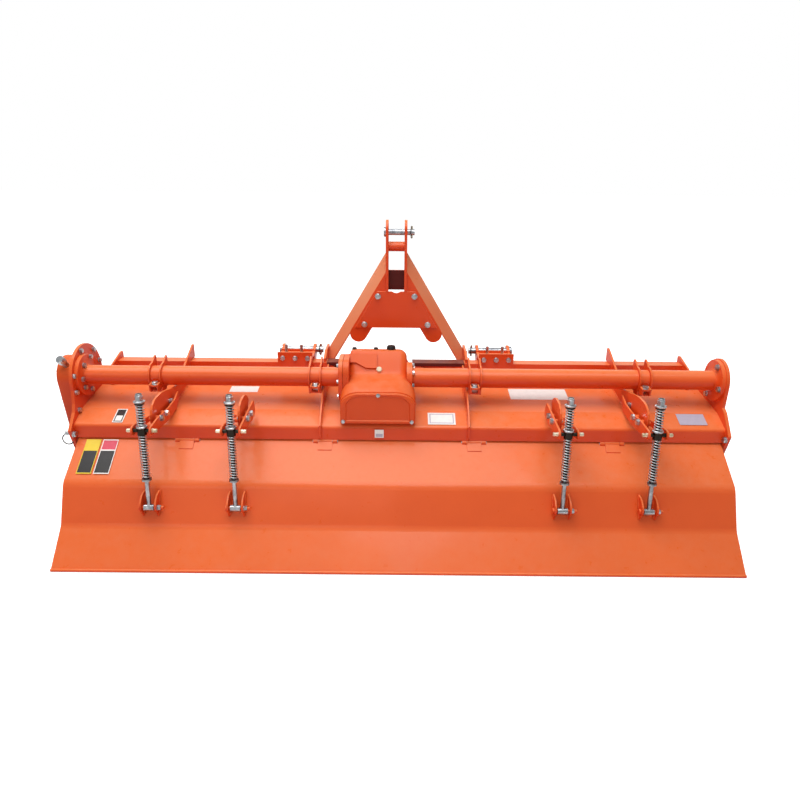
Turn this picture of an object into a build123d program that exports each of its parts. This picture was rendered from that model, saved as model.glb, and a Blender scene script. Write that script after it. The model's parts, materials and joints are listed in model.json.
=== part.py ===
from build123d import *
import os
from math import cos, hypot, radians, sin, sqrt, tan

os.makedirs("parts", exist_ok=True)

# A tractor-mounted rotary tiller. X = 0 is the centre plane of its three-point hitch, Z = 0 is the
# ground and +Y points to the tractor. Outlines in side planes are written as (y, z).

# Overall layout
HOOD_LENGTH = 2480          # clear width between the two side plates
HOOD_MID_X = 20             # middle of the tilled width, a little right of the hitch
ROTOR_Y = 145
ROTOR_Z = 240
TUBE_RISE = 345             # torque tube axis above the rotor axis
TUBE_BACK = 90              # torque tube axis behind the rotor axis
MAST_AHEAD = 210            # rear face of the mast's bent legs ahead of the rotor axis
MAST_TOP = 1158

# Sheet and plate
SIDE_PLATE = 12
HOOD_SHEET = 5
BOARD_SHEET = 5
RIB_PLATE = 8
MAST_SHEET = 9
SEAT = 0.3                  # gap left where curved or bolted faces meet
RUNNING = 0.08              # radial clearance of a shaft in its bearing
PIN_FIT = 0.25              # radial clearance of a hinge pin

# Torque tube
TUBE_R = 38
TUBE_WALL = 6
END_FLANGE_R = 82
END_FLANGE = 14

# Rotor
SHAFT_R = 45
STUB_R = 24
BLADE_TIP_R = 232
ROTOR_FLANGES = 10
FLANGE_R = 92
FLANGE_PLATE = 8
BLADES_PER_FLANGE = 6
BLADE_THICK = 8
BLADE_FOOT = 52             # how far the bent tip reaches sideways

# Gearbox and its input shaft
GEARBOX_MID_X = -62
GEARBOX_WIDTH = 280
PTO_Z = 566
PTO_R = 17.45
BEARING_R = 26

# Left gear case
CASE_DEPTH = 60
CASE_TOP_R = 78
CASE_LOW_R = 112

# Front beam
BEAM_DEPTH = 56
BEAM_HEIGHT = 85
BEAM_SHEET = 6

# Hitch
LEG_HALF = 270              # inner face of each mast foot plate from the centre plane
EAR_GAP = 66
EAR_PLATE = 11
TOP_PIN_R = 12.7
TOP_PIN_Z = 1109
SPACER_Z = 1051
SPACER_R = 20
HITCH_HALF = 421            # middle of each lower link bracket from the centre plane
HITCH_WIDTH = 146
LOWER_PIN_R = 14
LOWER_PIN_Z = 604

# Trailing board and its spring rods
HINGE_PIN_R = 6
HINGE_WALL = 4
HINGE_DROP = 10             # hinge axis below the hood's rear flange
HINGE_LENGTH = 54
HINGE_OFFSETS = (-814, -285, 285, 814)
ROD_OFFSETS = (-905, -592, 592, 905)
ROD_R = 8
EYE_BACK = 210              # rod eye behind the hood's rear face
EYE_Z = 194
TRUNNION_BACK = 184         # trunnion behind the hood's rear face
TRUNNION_Z = 485
TRUNNION_PIN_R = 7
TRUNNION_BODY_R = 16
FORK_HALF = 22              # inner faces of a fork from the rod's centre plane
FORK_PLATE = 7
SPRING_R = 15.5
ROD_ABOVE = 130             # rod top above the trunnion
LOWER_SPRING = 164
EYE_R = 12
EYE_HALF = 18               # half length of the cross bushing at the rod's lower end
EYE_PIN_R = 6
EYE_PLAY = 2.5              # radial play of the bushing on its pin

MAST_Y = ROTOR_Y + MAST_AHEAD
TUBE_Y = ROTOR_Y - TUBE_BACK
TUBE_Z = ROTOR_Z + TUBE_RISE
LEFT_X = HOOD_MID_X - HOOD_LENGTH / 2
RIGHT_X = HOOD_MID_X + HOOD_LENGTH / 2
BOARD_LENGTH = HOOD_LENGTH - 10
GEARBOX_LEFT = GEARBOX_MID_X - GEARBOX_WIDTH / 2
GEARBOX_RIGHT = GEARBOX_MID_X + GEARBOX_WIDTH / 2

# Hood outline, outer face, from the rear flange over the top to the front skirt
HOOD_BACK = ROTOR_Y - 228
FLANGE_LOW = ROTOR_Z + 137
FLANGE_HIGH = FLANGE_LOW + 53
FOLD_Y = ROTOR_Y - 146
FOLD_Z = FLANGE_HIGH + 37
CREST_Y = ROTOR_Y + 41
HOOD_TOP = ROTOR_Z + 258
FRONT_Y = CREST_Y + 125
SKIRT_Y = FRONT_Y + 89
SKIRT_Z = ROTOR_Z + 90
hood_line = [
    (HOOD_BACK, FLANGE_LOW), (HOOD_BACK, FLANGE_HIGH), (FOLD_Y, FOLD_Z), (CREST_Y, HOOD_TOP),
    (FRONT_Y, HOOD_TOP), (SKIRT_Y - 5, SKIRT_Z + 70), (SKIRT_Y, SKIRT_Z),
]


def hood_z(y):
    """Height of the hood's top face at y, behind the front beam."""
    if y < FOLD_Y:
        return FLANGE_HIGH + (y - HOOD_BACK) * (FOLD_Z - FLANGE_HIGH) / (FOLD_Y - HOOD_BACK)
    if y < CREST_Y:
        return FOLD_Z + (y - FOLD_Y) * (HOOD_TOP - FOLD_Z) / (CREST_Y - FOLD_Y)
    return HOOD_TOP


def save(builder, name):
    """Label one finished piece and write it."""
    builder.part.label = name
    export_step(builder.part, f"parts/{name}.step")


# Hinge and linkage points
HINGE_Y = HOOD_BACK + 4
HINGE_Z = FLANGE_LOW - HINGE_DROP
BARREL_R = HINGE_PIN_R + HINGE_WALL
EYE_Y = HOOD_BACK - EYE_BACK
TRUNNION_Y = HOOD_BACK - TRUNNION_BACK
ROD_SPAN = hypot(TRUNNION_Y - EYE_Y, TRUNNION_Z - EYE_Z)

# Hood: one folded sheet, with the fixed hinge barrels welded under its rear flange
with BuildPart() as hood:
    with BuildSketch(Plane.YZ.offset(LEFT_X)):
        with BuildLine():
            FilletPolyline(*hood_line, radius=14)
            offset(amount=HOOD_SHEET, side=Side.RIGHT)
        make_face()
    extrude(amount=HOOD_LENGTH)
    for x in HINGE_OFFSETS:
        for side in (-1, 1):
            start = HOOD_MID_X + x + side * (HINGE_LENGTH / 2 + 1)
            with BuildSketch(Plane.YZ.offset(start)):
                with Locations((HINGE_Y, HINGE_Z)):
                    Circle(BARREL_R)
                with Locations((HINGE_Y, HINGE_Z + HINGE_DROP / 2)):
                    Rectangle(8, HINGE_DROP)
                with Locations((HINGE_Y, HINGE_Z)):
                    Circle(HINGE_PIN_R, mode=Mode.SUBTRACT)
            extrude(amount=side * 18)
save(hood, "hood")

# Hinge pins of the trailing board, one in each set of barrels
with BuildPart() as hinge_pins:
    for x in HINGE_OFFSETS:
        with BuildSketch(Plane.YZ.offset(HOOD_MID_X + x - HINGE_LENGTH / 2 - 21)):
            with Locations((HINGE_Y, HINGE_Z)):
                Circle(HINGE_PIN_R)
        extrude(amount=HINGE_LENGTH + 42)
save(hinge_pins, "hinge_pins")

# Front beam: a box folded on the hood's front edge. Between the mast feet its rear wall is left
# out, and its webs are cut away round the input shaft.
BEAM_BACK = FRONT_Y - BEAM_DEPTH
BEAM_TOP = HOOD_TOP + BEAM_HEIGHT
with BuildPart() as front_beam:
    with BuildSketch(Plane.YZ.offset(LEFT_X)):
        with Locations((FRONT_Y - BEAM_DEPTH / 2, HOOD_TOP + BEAM_HEIGHT / 2)):
            Rectangle(BEAM_DEPTH, BEAM_HEIGHT)
            Rectangle(BEAM_DEPTH - 2 * BEAM_SHEET, BEAM_HEIGHT - 2 * BEAM_SHEET, mode=Mode.SUBTRACT)
    extrude(amount=HOOD_LENGTH)
    with Locations((0, BEAM_BACK + BEAM_SHEET / 2, HOOD_TOP + BEAM_HEIGHT / 2)):
        Box(2 * LEG_HALF - 20, BEAM_SHEET, BEAM_HEIGHT - 2 * BEAM_SHEET, mode=Mode.SUBTRACT)
    with BuildSketch(Plane.XZ.offset(-FRONT_Y - 5)):
        with Locations((0, PTO_Z)):
            Circle(85)
        with Locations((0, PTO_Z + BEAM_HEIGHT / 2)):
            Rectangle(170, BEAM_HEIGHT)
    extrude(amount=BEAM_DEPTH + 10, mode=Mode.SUBTRACT)
save(front_beam, "front_beam")


def side_outline(top_r, low_r):
    """Side plate outline: round over the torque tube, flared over the hood's rear flange and over
    the front skirt, and round under the rotor bearing."""
    with BuildSketch(mode=Mode.PRIVATE) as outline:
        with BuildLine():
            Polyline(
                (TUBE_Y - top_r, TUBE_Z), (TUBE_Y - top_r + 4, HOOD_TOP + 2), (FOLD_Y - 48, FOLD_Z + 20),
                (HOOD_BACK - 30, FLANGE_HIGH - 16), (HOOD_BACK, FLANGE_LOW - 48),
                (ROTOR_Y - low_r, ROTOR_Z + 20), (ROTOR_Y - low_r, ROTOR_Z),
            )
            ThreePointArc(
                (ROTOR_Y - low_r, ROTOR_Z), (ROTOR_Y, ROTOR_Z - low_r), (ROTOR_Y + low_r, ROTOR_Z)
            )
            Polyline(
                (ROTOR_Y + low_r, ROTOR_Z), (ROTOR_Y + low_r + 10, ROTOR_Z + 20),
                (SKIRT_Y + 12, SKIRT_Z - 14), (SKIRT_Y + 12, SKIRT_Z + 78), (FRONT_Y + 12, HOOD_TOP + 10),
                (FRONT_Y + 12, BEAM_TOP - 10), (TUBE_Y + top_r + 60, BEAM_TOP - 4),
                (TUBE_Y + top_r, TUBE_Z),
            )
            ThreePointArc((TUBE_Y + top_r, TUBE_Z), (TUBE_Y, TUBE_Z + top_r), (TUBE_Y - top_r, TUBE_Z))
        make_face()
    return outline.sketch_local


# Left side plate, with the large round head that the gear case bolts to
with BuildPart() as left_side_plate:
    with BuildSketch(Plane.YZ.offset(LEFT_X - SIDE_PLATE)):
        add(side_outline(86, 118))
        with Locations((TUBE_Y, TUBE_Z)):
            Circle(130)
        with Locations((ROTOR_Y, ROTOR_Z)):
            Circle(SHAFT_R + 6, mode=Mode.SUBTRACT)
    extrude(amount=SIDE_PLATE)
save(left_side_plate, "left_side_plate")

with BuildPart() as right_side_plate:
    with BuildSketch(Plane.YZ.offset(RIGHT_X)):
        add(side_outline(86, 118))
        with Locations((ROTOR_Y, ROTOR_Z)):
            Circle(SHAFT_R + 6, mode=Mode.SUBTRACT)
    extrude(amount=SIDE_PLATE)
save(right_side_plate, "right_side_plate")

# Gear case outside the left plate: a cast box round both axes, with the rotor's bearing bored in
CASE_X = LEFT_X - SIDE_PLATE
with BuildPart() as gear_case:
    with BuildSketch(Plane.YZ.offset(CASE_X)) as case_face:
        with Locations((TUBE_Y, TUBE_Z)):
            Circle(CASE_TOP_R)
        with Locations((ROTOR_Y, ROTOR_Z)):
            Circle(CASE_LOW_R)
        make_hull()
    extrude(amount=-CASE_DEPTH)
    fillet(gear_case.faces().sort_by(Axis.X)[0].edges(), 10)
    with BuildSketch(Plane.YZ.offset(CASE_X)):
        with Locations((ROTOR_Y, ROTOR_Z)):
            Circle(STUB_R + RUNNING)
    extrude(amount=-CASE_DEPTH + 20, mode=Mode.SUBTRACT)
save(gear_case, "gear_case")

# Rotor bearing carrier on the right plate
with BuildPart() as bearing_carrier:
    with BuildSketch(Plane.YZ.offset(RIGHT_X + SIDE_PLATE)):
        with Locations((ROTOR_Y, ROTOR_Z)):
            Circle(78)
    extrude(amount=12)
    with BuildSketch(Plane.YZ.offset(RIGHT_X + SIDE_PLATE + 12)):
        with Locations((ROTOR_Y, ROTOR_Z)):
            Circle(46)
    extrude(amount=20)
    with BuildSketch(Plane.YZ.offset(RIGHT_X + SIDE_PLATE)):
        with Locations((ROTOR_Y, ROTOR_Z)):
            Circle(STUB_R + RUNNING)
    extrude(amount=24, mode=Mode.SUBTRACT)
save(bearing_carrier, "bearing_carrier")

# Gearbox: a cast box on the hood that carries the inner ends of both torque tubes. The lower part
# is a wide barrel, and the upper part behind the input shaft is narrower.
GEARBOX_BACK = HOOD_BACK - 4
GEARBOX_FRONT = TUBE_Y + 160
GEARBOX_CREST = TUBE_Z + 98
SHOULDER_Y = TUBE_Y - 24
SHOULDER_Z = TUBE_Z + 20
UPPER_WIDTH = GEARBOX_WIDTH - 50
with BuildPart() as gearbox:
    with BuildSketch(Plane.YZ.offset(GEARBOX_LEFT)):
        with BuildLine():
            Polyline(
                (GEARBOX_BACK, hood_z(GEARBOX_BACK) + 18), (GEARBOX_BACK, SHOULDER_Z - 42),
                (GEARBOX_BACK + 34, SHOULDER_Z - 17), (SHOULDER_Y, SHOULDER_Z),
                (GEARBOX_FRONT - 30, SHOULDER_Z), (GEARBOX_FRONT - 30, HOOD_TOP + SEAT),
                (CREST_Y, HOOD_TOP + SEAT), (FOLD_Y, FOLD_Z + SEAT),
                (GEARBOX_BACK + 20, hood_z(GEARBOX_BACK + 20) + SEAT), close=True,
            )
        make_face()
    extrude(amount=GEARBOX_WIDTH)
    long_edges = gearbox.edges().filter_by(Axis.X).group_by(Axis.Z)[-1]
    fillet(long_edges, 16)
    with BuildSketch(Plane.YZ.offset(GEARBOX_MID_X - UPPER_WIDTH / 2)):
        with BuildLine():
            FilletPolyline(
                (SHOULDER_Y + 4, SHOULDER_Z - 30), (SHOULDER_Y + 4, SHOULDER_Z), (TUBE_Y + 30, GEARBOX_CREST - 6),
                (TUBE_Y + 60, GEARBOX_CREST), (TUBE_Y + 130, GEARBOX_CREST), (GEARBOX_FRONT, GEARBOX_CREST - 24),
                (GEARBOX_FRONT, HOOD_TOP + SEAT), (SHOULDER_Y + 60, HOOD_TOP + SEAT), radius=8, close=True,
            )
        make_face()
    extrude(amount=UPPER_WIDTH)
    with BuildSketch(Plane.XZ.offset(-GEARBOX_FRONT)):
        with Locations((0, PTO_Z)):
            Circle(62)
    extrude(amount=-22)
    with BuildSketch(Plane.XZ.offset(-GEARBOX_FRONT - 22)):
        with Locations((0, PTO_Z)):
            Circle(BEARING_R + RUNNING)
    extrude(amount=42, mode=Mode.SUBTRACT)
save(gearbox, "gearbox")

# Gearbox lid: a raised plate on the left of the upper part, its lower edge cut on a slope
LID_LENGTH = hypot(TUBE_Y + 30 - SHOULDER_Y - 4, GEARBOX_CREST - 6 - SHOULDER_Z)
lid_plane = Plane(
    origin=(GEARBOX_MID_X - UPPER_WIDTH / 2, SHOULDER_Y + 4, SHOULDER_Z), x_dir=(1, 0, 0),
    z_dir=(0, SHOULDER_Z - GEARBOX_CREST + 6, TUBE_Y + 26 - SHOULDER_Y),
)
with BuildPart() as gearbox_lid:
    with BuildSketch(lid_plane.offset(SEAT)):
        with BuildLine():
            Polyline(
                (-3, LID_LENGTH - 8), (-3, LID_LENGTH - 44), (24, LID_LENGTH - 44), (64, LID_LENGTH - 66),
                (UPPER_WIDTH * 0.46, LID_LENGTH - 66), (UPPER_WIDTH * 0.46, LID_LENGTH - 8), close=True,
            )
        make_face()
    extrude(amount=8)
save(gearbox_lid, "gearbox_lid")

# Gearbox rear cover: an arched cast plate
with BuildPart() as gearbox_cover:
    with BuildSketch(Plane.XZ.offset(-GEARBOX_BACK)):
        with Locations((GEARBOX_MID_X, hood_z(GEARBOX_BACK) + 18 + 65)):
            Rectangle(GEARBOX_WIDTH - 6, 130)
    extrude(amount=12)
    fillet(gearbox_cover.edges().filter_by(Axis.Y).group_by(Axis.Z)[-1], 62)
    fillet(gearbox_cover.edges().filter_by(Axis.Y).group_by(Axis.Z)[0], 18)
save(gearbox_cover, "gearbox_cover")

# Input shaft: the splined stub that the tractor's drive shaft slides on
PTO_END = GEARBOX_FRONT + 22 + 78
with BuildPart() as input_shaft:
    with BuildSketch(Plane.XZ.offset(-GEARBOX_FRONT + 18)):
        with Locations((0, PTO_Z)):
            Circle(BEARING_R)
    extrude(amount=-40)
    with BuildSketch(Plane.XZ.offset(-GEARBOX_FRONT - 22)):
        with Locations((0, PTO_Z)):
            Circle(PTO_R)
    extrude(amount=-78)
    chamfer(input_shaft.edges().group_by(Axis.Y)[-1], 2)
save(input_shaft, "input_shaft")

# Torque tubes: one each side of the gearbox, with a flange at both ends
for side, inner, outer in (("left", GEARBOX_LEFT, LEFT_X), ("right", GEARBOX_RIGHT, RIGHT_X)):
    away = 1 if outer > inner else -1
    with BuildPart() as torque_tube:
        with BuildSketch(Plane.YZ.offset(inner)):
            with Locations((TUBE_Y, TUBE_Z)):
                Circle(TUBE_R)
                Circle(TUBE_R - TUBE_WALL, mode=Mode.SUBTRACT)
        extrude(amount=outer - inner)
        with BuildSketch(Plane.YZ.offset(outer - away * END_FLANGE)):
            with Locations((TUBE_Y, TUBE_Z)):
                Circle(END_FLANGE_R)
                Circle(TUBE_R - TUBE_WALL, mode=Mode.SUBTRACT)
        extrude(amount=away * END_FLANGE)
        with BuildSketch(Plane.YZ.offset(inner)):
            if side == "left":
                with Locations((TUBE_Y, TUBE_Z + 9)):
                    RectangleRounded(184, 182, 50)
            with Locations((TUBE_Y, TUBE_Z)):
                Circle(60)
                Circle(TUBE_R - TUBE_WALL, mode=Mode.SUBTRACT)
        extrude(amount=away * (25 if side == "left" else 16))
    save(torque_tube, f"{side}_torque_tube")

# Outer ribs: tall plates that run from the front beam under the torque tube to the spring forks
FORK_END_R = 17
rib_top = [(TUBE_Y - 30, TUBE_Z - TUBE_R - 21), (TUBE_Y - 75, TUBE_Z - 66), (FOLD_Y - 185, FOLD_Z + 56)]
cheek_top = [(TUBE_Y - 61, TUBE_Z - 58), (TUBE_Y - 131, TUBE_Z - 63), (TUBE_Y - 160, TUBE_Z - 94)]
fork_low = [(FOLD_Y - 104, FOLD_Z - 8), (FOLD_Y - 60, FOLD_Z - 4), (FOLD_Y - 4, FOLD_Z + 1)]
for side, sign in (("left", -1), ("right", 1)):
    rod_x = HOOD_MID_X + sign * ROD_OFFSETS[3]
    near_x = rod_x - sign * FORK_HALF
    with BuildPart() as outer_rib:
        with BuildSketch(Plane.YZ.offset(near_x)):
            with BuildLine():
                Polyline(
                    (TRUNNION_Y, TRUNNION_Z - FORK_END_R), *fork_low, (CREST_Y, HOOD_TOP + SEAT),
                    (BEAM_BACK - SEAT, HOOD_TOP + SEAT), (BEAM_BACK - SEAT, BEAM_TOP + SEAT),
                    (FRONT_Y + 14, BEAM_TOP + SEAT), (FRONT_Y + 14, BEAM_TOP + 52),
                    (FRONT_Y + 2, BEAM_TOP + 57), (TUBE_Y + 38, TUBE_Z - TUBE_R - 2),
                    (TUBE_Y, TUBE_Z - TUBE_R - 8), *rib_top, (TRUNNION_Y, TRUNNION_Z + FORK_END_R),
                )
                ThreePointArc(
                    (TRUNNION_Y, TRUNNION_Z + FORK_END_R), (TRUNNION_Y - FORK_END_R, TRUNNION_Z),
                    (TRUNNION_Y, TRUNNION_Z - FORK_END_R),
                )
            make_face()
            with Locations((TRUNNION_Y, TRUNNION_Z)):
                Circle(TRUNNION_PIN_R + PIN_FIT, mode=Mode.SUBTRACT)
        extrude(amount=-sign * FORK_PLATE)
    save(outer_rib, f"{side}_outer_rib")

    # The fork's outboard cheek is a short plate, held to the rib by spacers
    with BuildPart() as fork_cheek:
        with BuildSketch(Plane.YZ.offset(rod_x + sign * FORK_HALF)):
            with BuildLine():
                Polyline(
                    (TRUNNION_Y, TRUNNION_Z - FORK_END_R), *fork_low, (TUBE_Y, hood_z(TUBE_Y) + SEAT),
                    (TUBE_Y, TUBE_Z - TUBE_R - 19), *cheek_top, (TRUNNION_Y, TRUNNION_Z + FORK_END_R),
                )
                ThreePointArc(
                    (TRUNNION_Y, TRUNNION_Z + FORK_END_R), (TRUNNION_Y - FORK_END_R, TRUNNION_Z),
                    (TRUNNION_Y, TRUNNION_Z - FORK_END_R),
                )
            make_face()
            with Locations((TRUNNION_Y, TRUNNION_Z)):
                Circle(TRUNNION_PIN_R + PIN_FIT, mode=Mode.SUBTRACT)
        extrude(amount=sign * FORK_PLATE)
        for y, z in ((FOLD_Y - 8, FOLD_Z + 36), (FOLD_Y - 69, FOLD_Z + 22)):
            with BuildSketch(Plane.YZ.offset(rod_x - sign * FORK_HALF)):
                with Locations((y, z)):
                    Circle(9)
            extrude(amount=sign * 2 * FORK_HALF)
    save(fork_cheek, f"{side}_outer_fork")

# Inner forks: two pointed cheeks bolted to the hood, joined by a foot and a spacer
for side, sign in (("left", -1), ("right", 1)):
    rod_x = HOOD_MID_X + sign * ROD_OFFSETS[2]
    with BuildPart() as inner_fork:
        for cheek in (-1, 1):
            with BuildSketch(Plane.YZ.offset(rod_x + cheek * FORK_HALF)):
                with BuildLine():
                    tip = FOLD_Y + (28 if cheek == sign else -26)
                    Polyline(
                        (TRUNNION_Y, TRUNNION_Z - FORK_END_R), (FOLD_Y - 104, FOLD_Z - 8),
                        (FOLD_Y - 60, hood_z(FOLD_Y - 60) + SEAT), (FOLD_Y, FOLD_Z + SEAT),
                        (tip + 34, hood_z(tip + 34) + SEAT), (tip + 22, FOLD_Z + 24),
                        (tip, FOLD_Z + 52), (tip - 34, FOLD_Z + 42), (tip - 66, FOLD_Z + 33),
                        (FOLD_Y - 110, FOLD_Z + 34), (TRUNNION_Y, TRUNNION_Z + FORK_END_R),
                    )
                    ThreePointArc(
                        (TRUNNION_Y, TRUNNION_Z + FORK_END_R), (TRUNNION_Y - FORK_END_R, TRUNNION_Z),
                        (TRUNNION_Y, TRUNNION_Z - FORK_END_R),
                    )
                make_face()
                with Locations((TRUNNION_Y, TRUNNION_Z)):
                    Circle(TRUNNION_PIN_R + PIN_FIT, mode=Mode.SUBTRACT)
            extrude(amount=cheek * FORK_PLATE)
        for y, z in ((FOLD_Y - 8, FOLD_Z + 26), (FOLD_Y - 52, FOLD_Z + 14)):
            with BuildSketch(Plane.YZ.offset(rod_x - FORK_HALF)):
                with Locations((y, z)):
                    Circle(9)
            extrude(amount=2 * FORK_HALF)
    save(inner_fork, f"{side}_inner_fork")

# Tube clamps: two hooked straps and a rear saddle with its bolt, four along the tube
CLAMP_INNER = 311
CLAMP_XS = (HOOD_MID_X - 948, -CLAMP_INNER, CLAMP_INNER, HOOD_MID_X + 948)
with BuildPart() as tube_clamps:
    for x in CLAMP_XS:
        for side in (-1, 1):
            with BuildSketch(Plane.YZ.offset(x + side * 21.5 - 3)):
                with Locations((TUBE_Y, TUBE_Z)):
                    Circle(TUBE_R + 13)
                with BuildLine():
                    Polyline(
                        (TUBE_Y, TUBE_Z + TUBE_R + 11), (TUBE_Y + 40, TUBE_Z + TUBE_R + 33),
                        (TUBE_Y + 48, TUBE_Z + TUBE_R + 30), (TUBE_Y + 46, TUBE_Z + 10),
                        (TUBE_Y + 20, TUBE_Z + 20), close=True,
                    )
                make_face()
                with Locations((TUBE_Y - 16, TUBE_Z - 46)):
                    Rectangle(46, 20)
                with Locations((TUBE_Y, TUBE_Z)):
                    Circle(TUBE_R + SEAT, mode=Mode.SUBTRACT)
            extrude(amount=6)
        with Locations((x, TUBE_Y - 20, TUBE_Z - TUBE_R - 14)):
            Box(37, 36, 6)
save(tube_clamps, "tube_clamps")

# End gussets: short fins on the beam beside each side plate
for side, sign in (("left", -1), ("right", 1)):
    with BuildPart() as end_gusset:
        with BuildSketch(Plane.YZ.offset(HOOD_MID_X + sign * 1190)):
            with BuildLine():
                Polyline(
                    (BEAM_BACK - SEAT, hood_z(BEAM_BACK) + SEAT), (BEAM_BACK - SEAT, BEAM_TOP + SEAT),
                    (FRONT_Y + 8, BEAM_TOP + SEAT), (FRONT_Y + 8, BEAM_TOP + 28),
                    (TUBE_Y + 42, TUBE_Z - 40), (FOLD_Y + 2, FOLD_Z + 3), (CREST_Y, HOOD_TOP + SEAT),
                    close=True,
                )
            make_face()
        extrude(amount=sign * RIB_PLATE)
    save(end_gusset, f"{side}_end_gusset")

# Inner ribs: thin fins on the hood beside the gearbox, down to the rear flange
for side, sign in (("left", -1), ("right", 1)):
    with BuildPart() as inner_rib:
        with BuildSketch(Plane.YZ.offset(sign * (CLAMP_INNER - 25))):
            with BuildLine():
                Polyline(
                    (HOOD_BACK - SEAT, FLANGE_LOW + 3), (HOOD_BACK - SEAT, FLANGE_HIGH + SEAT),
                    (FOLD_Y, FOLD_Z + SEAT), (CREST_Y, HOOD_TOP + SEAT), (BEAM_BACK - SEAT, HOOD_TOP + SEAT),
                    (BEAM_BACK - SEAT, BEAM_TOP - 6), (TUBE_Y + 60, TUBE_Z - TUBE_R - 2),
                    (TUBE_Y - 20, TUBE_Z - TUBE_R - 10), (FOLD_Y - 20, FOLD_Z + 34),
                    (HOOD_BACK - 14, FLANGE_HIGH + 10), (HOOD_BACK - 14, FLANGE_LOW + 16),
                    close=True,
                )
            make_face()
        extrude(amount=-sign * 6)
    save(inner_rib, f"{side}_inner_rib")

# Mast legs: bent sheets. The inner flange faces the rear, the outer wing is folded forward by half
# a right angle and runs down to the foot plate.
FLANGE_WIDTH = 73
WING = 56
LEG_LEAN = 31.1
FOLD_LOW_X = 215
FOLD_LOW_Z = 665
EAR_INNER = EAR_GAP / 2
EAR_OUTER = EAR_INNER + EAR_PLATE
lean = radians(LEG_LEAN)
leg_up = Vector(-sin(lean), 0, cos(lean))
leg_in = Vector(-cos(lean), 0, -sin(lean))
LEG_RUN = (FOLD_LOW_X - EAR_OUTER) / sin(lean)
for side, sign in (("left", -1), ("right", 1)):
    with BuildPart() as mast_leg:
        with BuildSketch(Plane.XZ.offset(-MAST_Y)):
            tip = Vector(FOLD_LOW_X, 0, FOLD_LOW_Z) + leg_in * (FLANGE_WIDTH / 2)
            top = tip + leg_up * (LEG_RUN + 30)
            with BuildLine():
                inner_low = tip + leg_in * (FLANGE_WIDTH / 2)
                inner_top = Vector(EAR_OUTER, 0, inner_low.Z + (inner_low.X - EAR_OUTER) / tan(lean))
                outer_low = tip - leg_in * (FLANGE_WIDTH / 2)
                outer_top = Vector(EAR_OUTER, 0, outer_low.Z + (outer_low.X - EAR_OUTER) / tan(lean))
                bottom = tip - leg_up * (FLANGE_WIDTH / 2)
                Polyline(
                    (inner_low.X, inner_low.Z), (inner_top.X, inner_top.Z), (outer_top.X, outer_top.Z),
                    (outer_low.X, outer_low.Z),
                )
                ThreePointArc(
                    (outer_low.X, outer_low.Z), (bottom.X, bottom.Z), (inner_low.X, inner_low.Z)
                )
            make_face()
        extrude(amount=-MAST_SHEET)
        wing_low = Vector(FOLD_LOW_X, MAST_Y, FOLD_LOW_Z) - leg_up * 86
        with BuildSketch(Plane(origin=wing_low, x_dir=leg_in, z_dir=leg_up)):
            with BuildLine():
                reach = WING * cos(radians(45))
                Polyline(
                    (0, 0), (-reach, -reach), (-reach + MAST_SHEET * 0.7, -reach - MAST_SHEET * 0.7),
                    (MAST_SHEET * 0.4, -MAST_SHEET), (6, -MAST_SHEET), (6, 0), close=True,
                )
            make_face()
        extrude(amount=LEG_RUN + 86 + 40)
        split(bisect_by=Plane.YZ.offset(EAR_OUTER), keep=Keep.TOP)
        if sign < 0:
            mirror(about=Plane.YZ, mode=Mode.REPLACE)
    save(mast_leg, f"{side}_mast_leg")

    # Foot plate that the leg bolts to, standing on the front beam
    with BuildPart() as mast_foot:
        with BuildSketch(Plane.YZ.offset(sign * (LEG_HALF + 23.5))):
            with BuildLine():
                Polyline(
                    (FRONT_Y + SEAT, HOOD_TOP + 3), (FRONT_Y + SEAT, BEAM_TOP + SEAT),
                    (BEAM_BACK + 4, BEAM_TOP + SEAT), (BEAM_BACK + 4, BEAM_TOP + 24),
                    (MAST_Y - 30, BEAM_TOP + 96), (MAST_Y + 62, BEAM_TOP + 96),
                    (MAST_Y + 62, BEAM_TOP - 30), (FRONT_Y + 40, HOOD_TOP - 30), close=True,
                )
            make_face()
        extrude(amount=sign * 10)
    save(mast_foot, f"{side}_mast_foot")

# Mast cross plate: the trapezium between the legs
PLATE_LOW = 712
PLATE_HIGH = 868


def plate_half(z):
    """Half width of the cross plate at height z, just inside the legs' fold lines."""
    return FOLD_LOW_X - (z - FOLD_LOW_Z) * tan(lean) - 18


with BuildPart() as mast_plate:
    with BuildSketch(Plane.XZ.offset(-MAST_Y - MAST_SHEET)):
        with BuildLine():
            Polyline(
                (-plate_half(PLATE_LOW), PLATE_LOW), (plate_half(PLATE_LOW), PLATE_LOW),
                (plate_half(PLATE_HIGH), PLATE_HIGH), (16, PLATE_HIGH), (0, PLATE_HIGH - 8),
                (-16, PLATE_HIGH), (-plate_half(PLATE_HIGH), PLATE_HIGH), close=True,
            )
        make_face()
    extrude(amount=-MAST_SHEET)
save(mast_plate, "mast_plate")

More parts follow.
